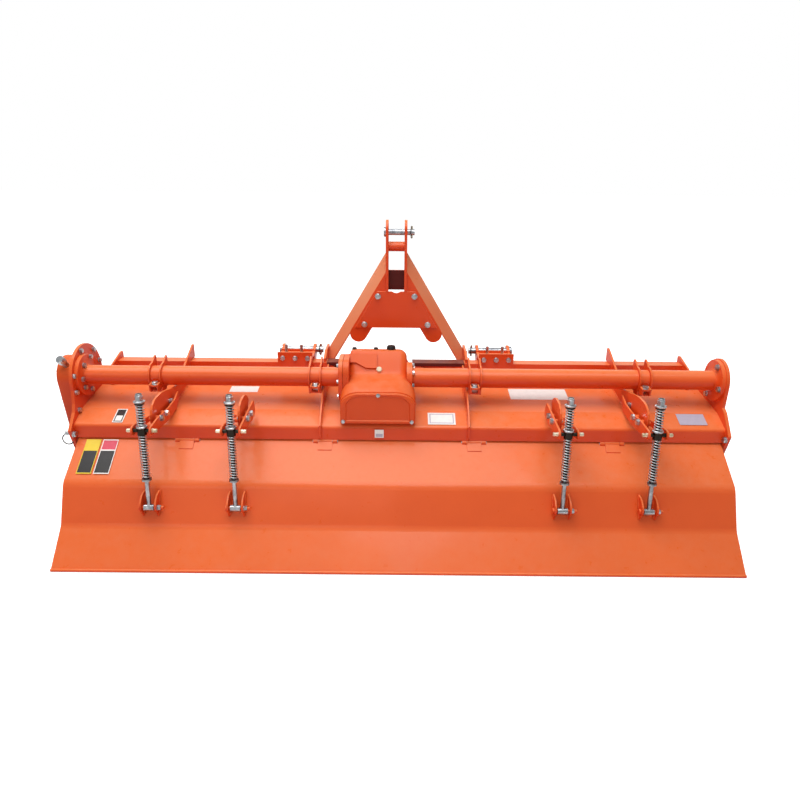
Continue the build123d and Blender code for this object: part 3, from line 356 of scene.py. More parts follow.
coil_tree, given = start_geometry("coil_spring", [
    ("Geometry", "Geometry"), ("Turns", "Float"), ("Coil radius", "Float"), ("Length", "Float"),
    ("Wire radius", "Float"), ("Finish", "Material"),
])
coil = add_node(
    coil_tree, "GeometryNodeCurveSpiral",
    {
        "Resolution": 22, "Rotations": given["Turns"], "Start Radius": given["Coil radius"],
        "End Radius": given["Coil radius"], "Height": given["Length"],
    },
)
wire = add_node(
    coil_tree, "GeometryNodeCurvePrimitiveCircle", {"Resolution": 8, "Radius": given["Wire radius"]},
)
wound = add_node(
    coil_tree, "GeometryNodeCurveToMesh",
    {"Curve": coil, "Profile Curve": wire, "Fill Caps": True},
)
rounded = add_node(coil_tree, "GeometryNodeSetShadeSmooth", {0: wound})
close_geometry(coil_tree, rounded, given["Finish"])

spring_zinc = plated_steel("zinc_plated_spring_wire", "DADCDD", "9DA1A5", 0.32)
joints = {joint["name"]: joint for joint in frame["joints"]}
WIRE = 0.0021
COIL_RADIUS = 0.0155 - WIRE
# Ends of each spring along its rod, measured from the trunnion
LOWER_SPAN = (-0.179, -0.015)
UPPER_SPAN = (0.015, 0.096)
rods = []
for number in (1, 2, 3, 4):
    trunnion = Vector(joints[f"trunnion_{number}_swing"]["pos_m"])
    up = Vector(joints[f"rod_{number}_slide"]["axis"]).normalized()
    rods.append((trunnion, up))
    for name, (low, high), turns in (("lower", LOWER_SPAN, 16), ("upper", UPPER_SPAN, 8)):
        mesh = run_tree(coil_tree, bpy.data.meshes.new("seed"), {
            "Turns": turns, "Coil radius": COIL_RADIUS, "Length": high - low - 2 * WIRE,
            "Wire radius": WIRE, "Finish": spring_zinc,
        })
        stand_along(mesh, trunnion + up * (low + WIRE), up)
        spring = in_scene(f"{name}_coil_spring_{number}", mesh)
        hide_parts(f"{name}_spring_{number}")
        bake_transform(spring)


# Hexagon bolts and nuts with plain washers: M16, M12 and M10, zinc plated. They hold the flanges,
# forks, clamps, brackets, mast, covers and blades, so every one is set on its real face.
def turned_rings(profile, count=24):
    """Rings of a shape turned round Z from its (radius, height) profile."""
    turns = [2 * pi * i / count for i in range(count)]
    return [[(r * cos(a), r * sin(a), z) for a in turns] for r, z in profile]


def turned_mesh(profile, count=24):
    """A closed mesh turned round Z from its profile."""
    return stacked_rings(turned_rings(profile, count))


def hex_rings(flats, low, high):
    """Rings of a hexagon with its top corners chamfered: 6 corners and the middles of 6 flats."""
    chamfer = flats / 2 * 0.96
    rings = []
    for z, cut in ((low, 0), (high, 0), (high, 1)):
        ring = []
        for i in range(12):
            a = 2 * pi * i / 12
            corner = flats / 2 if i % 2 else flats / 2 / cos(pi / 6)
            radius = min(corner, chamfer) if cut else corner
            drop = (corner - chamfer) * 0.577 if not cut and z == high else 0
            ring.append((radius * cos(a), radius * sin(a), z - drop))
        rings.append(ring)
    return rings


def join_meshes(meshes):
    """One mesh from several."""
    joined = bmesh.new()
    for mesh in meshes:
        joined.from_mesh(mesh)
    return mesh_of(joined, "joined")


washer_rings = turned_rings(((0.0132, -0.001), (0.0132, 0.0022), (0.0127, 0.0026), (0.007, 0.0026)), 20)
bolt_head = join_meshes([
    stacked_rings(washer_rings), stacked_rings(hex_rings(0.0208, 0.0026, 0.0115)),
])
nut_and_end = join_meshes([
    stacked_rings(washer_rings), stacked_rings(hex_rings(0.0208, 0.0026, 0.0146)),
    turned_mesh(((0.0068, 0.012), (0.0068, 0.019), (0.0056, 0.0205)), 12),
])
fastener_tree, given = start_geometry("fasteners_on_points", [
    ("Geometry", "Geometry"), ("Fastener", "Object"), ("Seed", "Int"), ("Finish", "Material"),
])
facing = add_node(
    fastener_tree, "GeometryNodeInputNamedAttribute", {"Name": "facing"}, data_type="FLOAT_VECTOR",
)
size = add_node(fastener_tree, "GeometryNodeInputNamedAttribute", {"Name": "size"}, data_type="FLOAT")
aimed = add_node(fastener_tree, "FunctionNodeAlignRotationToVector", {"Vector": facing}, axis="Z")
angle = add_node(
    fastener_tree, "FunctionNodeRandomValue", {2: 0.0, 3: pi / 3, "Seed": given["Seed"]},
    data_type="FLOAT",
)
spin = add_node(
    fastener_tree, "FunctionNodeAxisAngleToRotation", {"Axis": (0, 0, 1), "Angle": angle.outputs[1]},
)
tightened = add_node(
    fastener_tree, "FunctionNodeRotateRotation", {"Rotation": aimed, "Rotate By": spin},
    rotation_space="LOCAL",
)
pattern = add_node(fastener_tree, "GeometryNodeObjectInfo", {"Object": given["Fastener"]})
placed = add_node(
    fastener_tree, "GeometryNodeInstanceOnPoints",
    {
        "Points": given["Geometry"], "Instance": pattern.outputs["Geometry"], "Rotation": tightened,
        "Scale": size,
    },
)
close_geometry(fastener_tree, placed, given["Finish"])


def set_fasteners(name, body, pattern_mesh, rows, finish, seed=3):
    """Sets one kind of fastener at each (point, direction, size) row as a single piece."""
    points = bpy.data.meshes.new("points")
    points.from_pydata([tuple(row[0]) for row in rows], [], [])
    points.attributes.new("facing", "FLOAT_VECTOR", "POINT").data.foreach_set(
        "vector", [value for row in rows for value in row[1]]
    )
    points.attributes.new("size", "FLOAT", "POINT").data.foreach_set("value", [row[2] for row in rows])
    holder = in_scene("holder", pattern_mesh)
    mesh = run_tree(fastener_tree, points, {"Fastener": holder, "Seed": seed, "Finish": finish})
    bpy.data.objects.remove(holder)
    return own_piece(name, mesh, None, body)


RIGHT, LEFT, BACK, UP, FRONT = (1, 0, 0), (-1, 0, 0), (0, -1, 0), (0, 0, 1), (0, 1, 0)
# Bolt sizes against the pattern, whose head is 21 mm across its flats
CASE_BOLT, FLANGE_BOLT, FORK_BOLT = 0.55, 0.8, 0.95
FLANGE_FACE = 0.014
hood_low, hood_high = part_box("hood")
left_face, right_face, hood_back = hood_low.x, hood_high.x, hood_low.y
tube_low, tube_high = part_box("right_torque_tube")
tube_y, tube_z = (tube_low.y + tube_high.y) / 2, (tube_low.z + tube_high.z) / 2
rotor = Vector(joints["rotor_turn"]["pos_m"])
beam_low, beam_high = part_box("front_beam")
heads, nuts = [], []

# Torque tube flanges and the large round head of the left plate
for x, facing, bolt, places in (
    (
        left_face + FLANGE_FACE, RIGHT, FLANGE_BOLT,
        ((0.096, 0.646), (0.034, 0.629), (0.010, 0.580), (0.018, 0.545), (0.070, 0.521)),
    ),
    (right_face - FLANGE_FACE, LEFT, 0.9, ((0.030, 0.645), (-0.008, 0.568), (0.084, 0.520))),
    (
        left_face, RIGHT, FLANGE_BOLT,
        ((0.056, 0.681), (0.157, 0.659), (0.193, 0.604), (-0.024, 0.603), (-0.027, 0.539), (-0.028, 0.468)),
    ),
):
    heads += [((x, y, z), facing, bolt) for y, z in places]
for face, direction in ((left_face, RIGHT), (right_face, LEFT)):
    heads.append(((face, hood_back - 0.008, tube_z - 0.189), direction, FORK_BOLT))

# Spring forks: two bolts through the cheeks, and one more through each outer rib
for number, (trunnion, up) in enumerate(rods, start=1):
    inboard = 1 if trunnion.x < 0 else -1
    for y, z in ((-0.122, 0.496), (-0.175, 0.497)):
        heads.append(((trunnion.x + inboard * 0.036, y, z), (inboard, 0, 0), FORK_BOLT))
        nuts.append(((trunnion.x + inboard * 0.012, y, z), (-inboard, 0, 0), 0.6))
    if number in (1, 4):
        heads.append(((trunnion.x + inboard * 0.020, -0.026, 0.507), (inboard, 0, 0), FORK_BOLT))

# Tube clamps: one upright bolt behind the tube in each
clamp_low, clamp_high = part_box("tube_clamps")
clamp_xs = (clamp_low.x + 0.0245, -0.311, 0.311, clamp_high.x - 0.0245)
for x in clamp_xs:
    heads.append(((x + (0.006 if x < 0 else -0.006), tube_y - 0.060, tube_z - 0.017), UP, 1.05))

# Mast plate, mast feet and lower link brackets
MAST_FACE = 0.355
CROSS_PLATE = 0.0062
for x, z in ((0.077, 0.847), (0.135, 0.726)):
    for side in (-1, 1):
        heads.append(((side * x, MAST_FACE - CROSS_PLATE, z), BACK, FORK_BOLT))
foot_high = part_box("right_mast_foot")[1]
for side in (-1, 1):
    for y, z in ((foot_high.y - 0.03, foot_high.z - 0.085), (foot_high.y - 0.06, foot_high.z - 0.13)):
        heads.append(((side * foot_high.x, y, z), (side, 0, 0), FLANGE_BOLT))
bracket_low, bracket_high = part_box("right_hitch_bracket")
bracket_x = (bracket_low.x + bracket_high.x) / 2
for side in (-1, 1):
    for offset in (-0.052, 0, 0.052):
        heads.append(((side * bracket_x + offset, bracket_low.y, beam_high.z + 0.020), BACK, FLANGE_BOLT))
        nuts.append(((side * bracket_x + offset, beam_high.y, beam_low.z + 0.03), FRONT, FLANGE_BOLT))

# Gear case rim, bearing carrier and skids
case_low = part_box("gear_case")[0]
for k in range(7):
    a = radians(30 * k)
    heads.append(((case_low.x, tube_y + 0.055 * cos(a), tube_z + 0.055 * sin(a)), LEFT, CASE_BOLT))
    heads.append(((case_low.x, rotor.y - 0.088 * cos(a), rotor.z - 0.088 * sin(a)), LEFT, CASE_BOLT))
for t in (0.25, 0.5, 0.75):
    for near, far in ((-0.058, -0.09), (0.058, 0.09)):
        y = tube_y + near + (rotor.y + far - tube_y - near) * t
        heads.append(((case_low.x, y, tube_z + (rotor.z - tube_z) * t), LEFT, CASE_BOLT))
for k in range(6):
    a = radians(60 * k)
    place = (right_face + 0.024, rotor.y + 0.061 * cos(a), rotor.z + 0.061 * sin(a))
    heads.append((place, RIGHT, 0.75))
for y, z in (
    (rotor.y - 0.156, 0.29), (rotor.y - 0.146, 0.14), (rotor.y + 0.19, 0.285), (rotor.y + 0.19, 0.14),
):
    heads.append(((right_face + 0.020, y, z), RIGHT, 0.85))
    heads.append(((left_face - 0.020, y, z), LEFT, 0.85))

# Gearbox: cover, input bearing and tube flange bolts
box_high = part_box("gearbox")[1]
FLANGE_LEFT, FLANGE_RIGHT = -0.216, 0.067
cover_low, cover_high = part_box("gearbox_cover")
box_x = (cover_low.x + cover_high.x) / 2
for x, z in ((-0.062, 0.5635), (-0.194, 0.458), (0.065, 0.458)):
    heads.append(((x, cover_low.y, z), BACK, 0.58))
for k in range(6):
    a = radians(60 * k + 30)
    heads.append(((shaft_x + 0.048 * cos(a), shaft_start, shaft_z + 0.048 * sin(a)), FRONT, 0.6))
for y, z in ((-0.062, 0.064), (-0.068, 0.003), (-0.062, -0.058), (0.062, 0.064), (0.068, 0.003)):
    heads.append(((FLANGE_LEFT, tube_y + y, tube_z + z), LEFT, 0.6))
for k in range(6):
    a = radians(60 * k + 20)
    heads.append(((FLANGE_RIGHT, tube_y + 0.050 * cos(a), tube_z + 0.050 * sin(a)), RIGHT, 0.7))
set_fasteners("frame_bolt_heads", "frame", bolt_head, heads, zinc)
set_fasteners("frame_nuts", "frame", nut_and_end, nuts, zinc)

# Blade bolts: two zinc-plated bolts through each blade's shank and its flange, with the nuts against
# the blade
FLANGES = 10
BLADES = 3
first_flange = left_face + 0.075
pitch = (right_face - left_face - 0.15) / (FLANGES - 1)
blade_bolts = []
for i in range(FLANGES):
    for hand in (-1, 1):
        if (i == 0 and hand < 0) or (i == FLANGES - 1 and hand > 0):
            continue
        for k in range(BLADES):
            a = radians(60 * (2 * k + (hand > 0)) + 18 * i)
            for r in (0.066, 0.083):
                x = first_flange + i * pitch + hand * 0.0123
                blade_bolts.append(((x, rotor.y - r * sin(a), rotor.z + r * cos(a)), (hand, 0, 0), 0.62))
set_fasteners("blade_nuts", "rotor", nut_and_end, blade_bolts, zinc)

# Trunnion pin ends and board lug nuts: turned steel pins through the fork's cheeks, plated in yellow
# chromate, and plain zinc nuts on the pins of the board's lugs
yellow_zinc = plated_steel("yellow_chromate_steel", "F2E6CC", "CDBB92", 0.36)
low_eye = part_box("spring_rod_1")[0].z + 0.012
pin_end = turned_mesh(
    ((0.0086, 0), (0.0086, 0.003), (0.0072, 0.0045), (0.0072, 0.0155), (0.0058, 0.0175)), 16,
)
lug_nuts = []
for number, (trunnion, up) in enumerate(rods, start=1):
    rows = [((trunnion.x + side * 0.0363, trunnion.y, trunnion.z), (side, 0, 0), 1) for side in (-1, 1)]
    set_fasteners(
        f"trunnion_pin_ends_{number}", f"trunnion_{number}", pin_end, rows, yellow_zinc,
        number,
    )
    eye = trunnion - up * ((trunnion.z - low_eye) / up.z)
    lug_nuts.append(((trunnion.x + 0.0305, eye.y, eye.z), RIGHT, FLANGE_BOLT))
set_fasteners("lug_nuts", "board", nut_and_end, lug_nuts, zinc)

# Weld beads: MIG fillets about 6 mm wide that join ribs, gussets, tube flanges and lugs to their
# sheets. They were painted over, so each is a rippled bead under the same enamel.
bead_tree, given = start_geometry("round_section_along_line", [
    ("Geometry", "Geometry"), ("Spacing", "Float"), ("Thickness", "Float"), ("Ripple", "Float"),
    ("Sides", "Int"), ("Finish", "Material"),
])
line = add_node(bead_tree, "GeometryNodeMeshToCurve", {0: given["Geometry"]})
stepped = add_node(
    bead_tree, "GeometryNodeResampleCurve", {"Curve": line, "Length": given["Spacing"]}, mode="LENGTH",
)
index = add_node(bead_tree, "GeometryNodeInputIndex", {})
phase = add_node(bead_tree, "ShaderNodeMath", {0: index, 1: 1.3}, operation="MULTIPLY")
swell = add_node(bead_tree, "ShaderNodeMath", {0: phase}, operation="SINE")
share = add_node(bead_tree, "ShaderNodeMath", {0: swell, 1: given["Ripple"]}, operation="MULTIPLY")
scale = add_node(bead_tree, "ShaderNodeMath", {0: share, 1: 1.0}, operation="ADD")
ring = add_node(
    bead_tree, "GeometryNodeCurvePrimitiveCircle",
    {"Resolution": given["Sides"], "Radius": given["Thickness"]},
)
bead = add_node(
    bead_tree, "GeometryNodeCurveToMesh",
    {"Curve": stepped, "Profile Curve": ring, "Scale": scale, "Fill Caps": True},
)
bead_smooth = add_node(bead_tree, "GeometryNodeSetShadeSmooth", {0: bead})
close_geometry(bead_tree, bead_smooth, given["Finish"])


def along_lines(
    name, body, lines, thickness, finish, ripple=0.0, spacing=0.005, sides=6,
):
    """Runs a round section along each line of points; a line that ends where it began is closed."""
    points, edges = [], []
    for line in lines:
        closed = (Vector(line[0]) - Vector(line[-1])).length < 1e-6
        start = len(points)
        points.extend(tuple(p) for p in (line[:-1] if closed else line))
        last = len(points) - 1
        edges.extend((i, i + 1) for i in range(start, last))
        if closed:
            edges.append((last, start))
    mesh = bpy.data.meshes.new("lines")
    mesh.from_pydata(points, edges, [])
    made = run_tree(bead_tree, mesh, {
        "Spacing": spacing, "Thickness": thickness, "Ripple": ripple, "Sides": sides, "Finish": finish,
    })
    return own_piece(name, made, None, body)


def circle_x(x, y, z, radius, count):
    """Points of a circle round a line along X."""
    turns = [2 * pi * i / count for i in range(count)]
    return [(x, y + radius * cos(a), z + radius * sin(a)) for a in turns]


fold_y, fold_z = rotor.y - 0.146, tube_z - 0.118
crest_y, hood_top = rotor.y + 0.041, rotor.z + 0.258
beam_back = beam_low.y
seams = []
for x in (left_face + 0.016, right_face - 0.016, FLANGE_LEFT - 0.002, FLANGE_RIGHT + 0.002):
    ring = circle_x(x, tube_y, tube_z, 0.039, 32)
    seams.append(ring + ring[:1])
for x0, x1 in ((-1.169, -0.27), (0.27, 1.209)):
    seams.append([(x0, beam_back, hood_top), (x1, beam_back, hood_top)])
for trunnion, up in rods[::3]:
    for offset in (0.012, 0.020):
        x = trunnion.x + (offset if trunnion.x < 0 else -offset)
        seams.append([(x, fold_y, fold_z), (x, crest_y, hood_top), (x, beam_back, hood_top)])
for side in (-1, 1):
    for x in (side * 0.286, side * 0.280):
        seams.append([
            (x, hood_back, hood_high.z - 0.068), (x, fold_y, fold_z), (x, crest_y, hood_top),
            (x, beam_back, hood_top),
        ])
    for x in (rotor.x + side * 1.190, rotor.x + side * 1.198):
        seams.append([(x, crest_y, hood_top), (x, beam_back, hood_top)])
along_lines("frame_weld_beads", "frame", seams, 0.0032, orange_enamel, 0.22)

STEEP_TOP = (hood_back - 0.154, 0.262)
STEEP_LEAN = 0.064 / 0.142


def board_y(z):
    """Rear face of the board's steep panel at height z."""
    return STEEP_TOP[0] - (STEEP_TOP[1] - z) * STEEP_LEAN


lug_seams = []
for trunnion, up in rods:
    for x in (trunnion.x - 0.024, trunnion.x - 0.030, trunnion.x + 0.024, trunnion.x + 0.030):
        lug_seams.append([(x, board_y(z), z) for z in (low_eye - 0.03, low_eye + 0.05)])
along_lines("board_weld_beads", "board", lug_seams, 0.003, orange_enamel, 0.22)

# Hem of the trailing board: a round bar of 12 mm, welded along the lower edge and painted with it,
# which slides over the soil
board_low, board_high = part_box("trailing_board")
along_lines(
    "board_hem", "board",
    [[(board_low.x, board_low.y + 0.0045, 0.0062), (board_high.x, board_low.y + 0.0045, 0.0062)]],
    0.0058, orange_enamel, 0, 0.2, 16,
)


# Lynch pins: sprung dark wire rings on 8 mm plated pins. They keep the top link pin and both lower link
# pins, and one holds the side cover at the left end.
dark_wire = plated_steel("oiled_spring_wire", "4A463F", "2C2925", 0.35)
LYNCH_REACH = 0.024


def lynch_pin(name, place, along, ring_side):
    """A pin through a shaft end with its ring folded round the shaft."""
    along, ring_side = Vector(along), Vector(ring_side)
    third = along.cross(ring_side)
    shank = [place + along * t for t in (-LYNCH_REACH, LYNCH_REACH)]
    ring = [
        place + along * LYNCH_REACH * cos(a) + third * LYNCH_REACH * sin(a) + ring_side * 0.004 * sin(a)
        for a in [2 * pi * i / 28 for i in range(29)]
    ]
    ring[-1] = ring[0]
    along_lines(f"{name}_shank", "frame", [shank], 0.0042, yellow_zinc, 0, 0.01, 10)
    along_lines(f"{name}_ring", "frame", [ring], 0.0017, dark_wire, 0, 0.004, 6)


pin_low, pin_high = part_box("top_link_pin")
pin_mid = (pin_low + pin_high) / 2
lynch_pin("top_lynch_pin", Vector((pin_high.x - 0.012, pin_mid.y, pin_mid.z)), (0, 0, 1), (1, 0, 0))
for side in ("left", "right"):
    low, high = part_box(f"{side}_lower_link_pin")
    inner = high.x - 0.012 if side == "left" else low.x + 0.012
    lynch_pin(
        f"{side}_lynch_pin", Vector((inner, (low.y + high.y) / 2, (low.z + high.z) / 2)), (0, 0, 1),
        (1, 0, 0),
    )
hanging = [
    (left_face - 0.026 + 0.021 * cos(a), -0.094, 0.374 + 0.021 * sin(a))
    for a in [2 * pi * i / 28 for i in range(28)]
]
along_lines("plate_pin_ring", "frame", [hanging + hanging[:1]], 0.0025, dark_wire, 0, 0.004, 6)
along_lines(
    "plate_pin", "frame", [[(left_face - 0.0125, -0.092, 0.397), (left_face - 0.034, -0.092, 0.397)]],
    0.0075, zinc,
    0, 0.01, 14,
)


# Spring forks and outer ribs: laser-cut 7 and 8 mm plate. A tall web stands beside each rod, an inboard
# cheek and a lower outboard cheek are bolted to it, and both reach back to the trunnion. The outer
# webs run on under the torque tube to the front beam.
def plate_along_x(outline, x_low, x_high):
    """A plate square to X with broken edges, from its (y, z) outline in millimetres."""
    shell = bmesh.new()
    rings = [[shell.verts.new((x, y / 1000, z / 1000)) for y, z in outline] for x in (x_low, x_high)]
    shell.faces.new(rings[0][::-1])
    shell.faces.new(rings[1])
    rims = []
    for i in range(len(outline)):
        j = (i + 1) % len(outline)
        shell.faces.new((rings[0][i], rings[0][j], rings[1][j], rings[1][i]))
        rims += [shell.edges.get((ring[i], ring[j])) for ring in rings]
    bmesh.ops.recalc_face_normals(shell, faces=shell.faces)
    bmesh.ops.bevel(shell, geom=rims, offset=0.0009, segments=1, affect="EDGES")
    return mesh_of(shell, "plate")


def steel_piece(name, mesh, body="frame"):
    """A piece of steel sheet or plate in the orange enamel."""
    return own_piece(name, mesh, orange_enamel, body)


TRUNNION = (-267, 485)
END_RADIUS = 17
# Near and far faces of the web and of each cheek, measured from the rod
WEB_SPAN = (0.012, 0.020)
CHEEK_SPAN = (0.029, 0.036)
fork_end = [
    (TRUNNION[0] - END_RADIUS * sin(a), TRUNNION[1] + END_RADIUS * cos(a))
    for a in [pi * i / 10 for i in range(11)]
]
web_rear = [
    (-150, 462), (-206, 476), (-214, 490), (-216, 506), (-214, 522), (-206, 538), (-192, 553), (-172, 563),
    (-150, 567), (-120, 567),
]
inner_web = [
    *web_rear, (-96, 560), (-80, 550), (-66, 536), (-68, 524), (-78, 508), (-86, 490), (-60, 470),
    (-61, 463),
    (-105, 459),
]
outer_web = [
    *web_rear, (-94, 567), (-60, 562), (-20, 553), (20, 546), (55, 540), (93, 545), (313, 640), (322, 640),
    (325, 635), (325, 583.5), (254.5, 583.5), (254.5, 498.5), (186, 498.5), (-1, 467.5), (-61, 463),
    (-105, 459),
]
cheek_low = [(-105, 459), (-200, 464)]
inner_cheek = [
    *fork_end, *cheek_low[::-1], (-61, 463), (-38, 472), (-42, 498), (-56, 524), (-120, 517), (-190, 510),
]
outer_cheek = [
    *fork_end, *cheek_low[::-1], (-61, 463), (-5, 470), (28, 500), (33, 528), (-13, 510), (-87, 503),
    (-190, 508),
]
outboard_cheek = [*fork_end, *cheek_low[::-1], (-66, 463), (-72, 474), (-105, 480), (-170, 490), (-230, 500)]
for number, (trunnion, up) in enumerate(rods, start=1):
    inboard = 1 if trunnion.x < 0 else -1
    side = "left" if inboard > 0 else "right"
    outer = number in (1, 4)

    def between(near, far):
        """The two X values at these distances inboard of the rod, in rising order."""
        return sorted((trunnion.x + inboard * near, trunnion.x + inboard * far))

    web = plate_along_x(outer_web if outer else inner_web, *between(*WEB_SPAN))
    near_cheek = plate_along_x(outer_cheek if outer else inner_cheek, *between(*CHEEK_SPAN))
    far_cheek = plate_along_x(outboard_cheek, *between(-CHEEK_SPAN[1], -CHEEK_SPAN[0]))
    spacers = [
        stacked_rings([circle_x(x, y / 1000, z / 1000, 0.009, 16) for x in between(*span)])
        for y, z, span in (
            (-122, 496, (0.019, 0.030)), (-175, 497, (0.019, 0.030)), (-120, 469, (-0.030, 0.013)),
        )
    ]
    if outer:
        rib = steel_piece(f"{side}_rib_and_cheek", join_meshes([web, near_cheek, *spacers[:2]]))
        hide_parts(f"{side}_outer_rib")
        fork = steel_piece(f"{side}_outboard_cheek", join_meshes([far_cheek, spacers[2]]))
        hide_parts(f"{side}_outer_fork")
    else:
        fork = steel_piece(f"{side}_bolted_fork", join_meshes([web, near_cheek, far_cheek, *spacers]))
        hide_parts(f"{side}_inner_fork")

# Mast face: a 6 mm cross plate bolted on the rear of two folded legs. Their flanges end round below
# the plate, and their wings, whose paint has gone chalky, run on down to the foot plates in front of
# the beam.
LEAN = radians(31.1)
FOLD_X, FOLD_Z, REACH = 0.215, 0.665, 0.0396


def half_width(z, inset):
    """Half width of the mast between its fold lines at height z, less an inset."""
    return FOLD_X - (z - FOLD_Z) * tan(LEAN) - inset


def plate_along_y(outline, y_low, y_high):
    """A plate square to Y with broken edges, from its (x, z) outline in metres."""
    turned = plate_along_x([(-x * 1000, z * 1000) for x, z in outline], y_low, y_high)
    turned.transform(Matrix.Rotation(pi / 2, 4, "Z"))
    return turned


cross = [
    (half_width(0.712, 0.012), 0.712), (half_width(0.868, 0.012), 0.868), (0.018, 0.868), (0.012, 0.864),
    (0, 0.861), (-0.012, 0.864), (-0.018, 0.868), (-half_width(0.868, 0.012), 0.868),
    (-half_width(0.712, 0.012), 0.712),
]
cross_plate = steel_piece(
    "mast_cross_plate", plate_along_y(cross, MAST_FACE - CROSS_PLATE, MAST_FACE - 0.0001),
)
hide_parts("mast_plate")
# The third colour is the lighter tint painted on faces turned up as painted light.
chalky_enamel = enamel("chalky_leg_enamel", "DD6A3C", "D58A68", "E39A70", 7, 0.05, 4, 0.3, 0.3)
leg_along = Vector((-sin(LEAN), 0, cos(LEAN)))
leg_across = Vector((-cos(LEAN), 0, -sin(LEAN)))
HALF_FLANGE = 0.0365
EAR_FACE = 0.0441
wing_section = [
    (0.001, 0.0), (-REACH, REACH), (-REACH + 0.004, REACH + 0.005), (0.0028, 0.0088), (0.006, 0.0088),
    (0.006, 0.0002),
]
for side, sign in (("left", -1), ("right", 1)):
    fold = Vector((FOLD_X, 0, FOLD_Z))
    tip = fold + leg_across * HALF_FLANGE + leg_along * 0.044
    round_low = [
        tip - leg_across * HALF_FLANGE * cos(a) - leg_along * HALF_FLANGE * sin(a)
        for a in [pi * i / 12 for i in range(13)]
    ]
    outer_run = (round_low[0].x - EAR_FACE) / sin(LEAN)
    inner_run = (round_low[-1].x - EAR_FACE) / sin(LEAN)
    outline = [round_low[0] + leg_along * outer_run, *round_low, round_low[-1] + leg_along * inner_run]
    flange = plate_along_y([(sign * point.x, point.z) for point in outline], MAST_FACE, MAST_FACE + 0.009)
    rings = []
    for run in (-0.136, (FOLD_X - EAR_FACE) / sin(LEAN) - 0.0236):
        base = fold + leg_along * run + Vector((0, MAST_FACE, 0))
        ring = [base + leg_across * across + Vector((0, depth, 0)) for across, depth in wing_section]
        if run > 0:
            ring = [point + leg_along * ((point.x - EAR_FACE) / sin(LEAN)) for point in ring]
        rings.append([(sign * point.x, point.y, point.z) for point in ring])
    leg = steel_piece(f"{side}_leg_flange", flange)
    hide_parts(f"{side}_mast_leg")
    own_piece(f"{side}_leg_wing", stacked_rings(rings), chalky_enamel, "frame")


# Side plates: 12 mm plate from the torque tube down to the rotor bearing. The left one carries a round
# head that the gear case bolts to.
def bored_plate(outline, bore, x_low, x_high):
    """A plate square to X with one round hole, from its (y, z) outline in millimetres."""
    shell = bmesh.new()
    rims = []
    for loop in (outline, bore):
        corners = [shell.verts.new((x_low, y / 1000, z / 1000)) for y, z in loop]
        rims += [shell.edges.new((corners[i - 1], corners[i])) for i in range(len(corners))]
    flat = bmesh.ops.triangle_fill(shell, edges=rims, use_beauty=True)
    faces = [item for item in flat["geom"] if isinstance(item, bmesh.types.BMFace)]
    lifted = bmesh.ops.extrude_face_region(shell, geom=faces, use_keep_orig=True)
    verts = [item for item in lifted["geom"] if isinstance(item, bmesh.types.BMVert)]
    bmesh.ops.translate(shell, verts=verts, vec=(x_high - x_low, 0, 0))
    bmesh.ops.recalc_face_normals(shell, faces=shell.faces)
    return mesh_of(shell, "bored_plate")


def arc(middle_y, middle_z, radius, start, end, steps):
    """Points on a circle in millimetres, from one angle to another in degrees."""
    turns = [radians(start + (end - start) * i / steps) for i in range(steps + 1)]
    return [(middle_y + radius * cos(a), middle_z + radius * sin(a)) for a in turns]


bearing_hole = arc(145, 240, 51, 0, 351, 39)
lower_part = [
    (-113, 414), (-83, 329), (27, 260), *arc(145, 240, 118, 180, 360, 24), (273, 260), (412, 316),
    (412, 408), (323, 508), (323, 535),
]
left_outline = [*arc(85, 570, 130, 0, 188, 30), (-50, 500), (-62, 470), *lower_part]
right_outline = [*arc(55, 585, 86, -8, 180, 24), (-27, 500), (-49, 487), *lower_part, (200, 570)]
for side, outline in (("left", left_outline), ("right", right_outline)):
    low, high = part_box(f"{side}_side_plate")
    plate = steel_piece(f"{side}_end_plate", bored_plate(outline, bearing_hole, low.x, high.x))
    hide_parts(f"{side}_side_plate")

# Gearbox casting: one smooth grey-iron shell. A wide arched rear end narrows and rises to the upper
# part, and a machined cover with a raised rim closes the rear. Its front boss seals the input shaft.
def arch_ring(y, left, right, base, top, round_x, round_z, left_share=1.0):
    """Section of the shell in millimetres: upright sides, rounded shoulders and a flat top."""
    steps = 9
    ring = [(left, base), (left, (base + top) / 2 - 20)]
    for i in range(steps + 1):
        a = pi / 2 * i / steps
        ring.append((left + round_x * left_share * (1 - cos(a)), top - round_z * left_share * (1 - sin(a))))
    ring.append(((left + right) / 2, top))
    for i in range(steps + 1):
        a = pi / 2 * (1 - i / steps)
        ring.append((right - round_x * (1 - cos(a)), top - round_z * (1 - sin(a))))
    ring += [(right, (base + top) / 2 - 20), (right, base)]
    return [(x / 1000, y / 1000, z / 1000) for x, z in ring]


def smooth_piece(name, mesh, material, body, sharp=38):
    """A piece whose surface is smooth except over edges sharper than an angle in degrees."""
    for face in mesh.polygons:
        face.use_smooth = True
    mesh.set_sharp_from_angle(angle=radians(sharp))
    return own_piece(name, mesh, material, body)


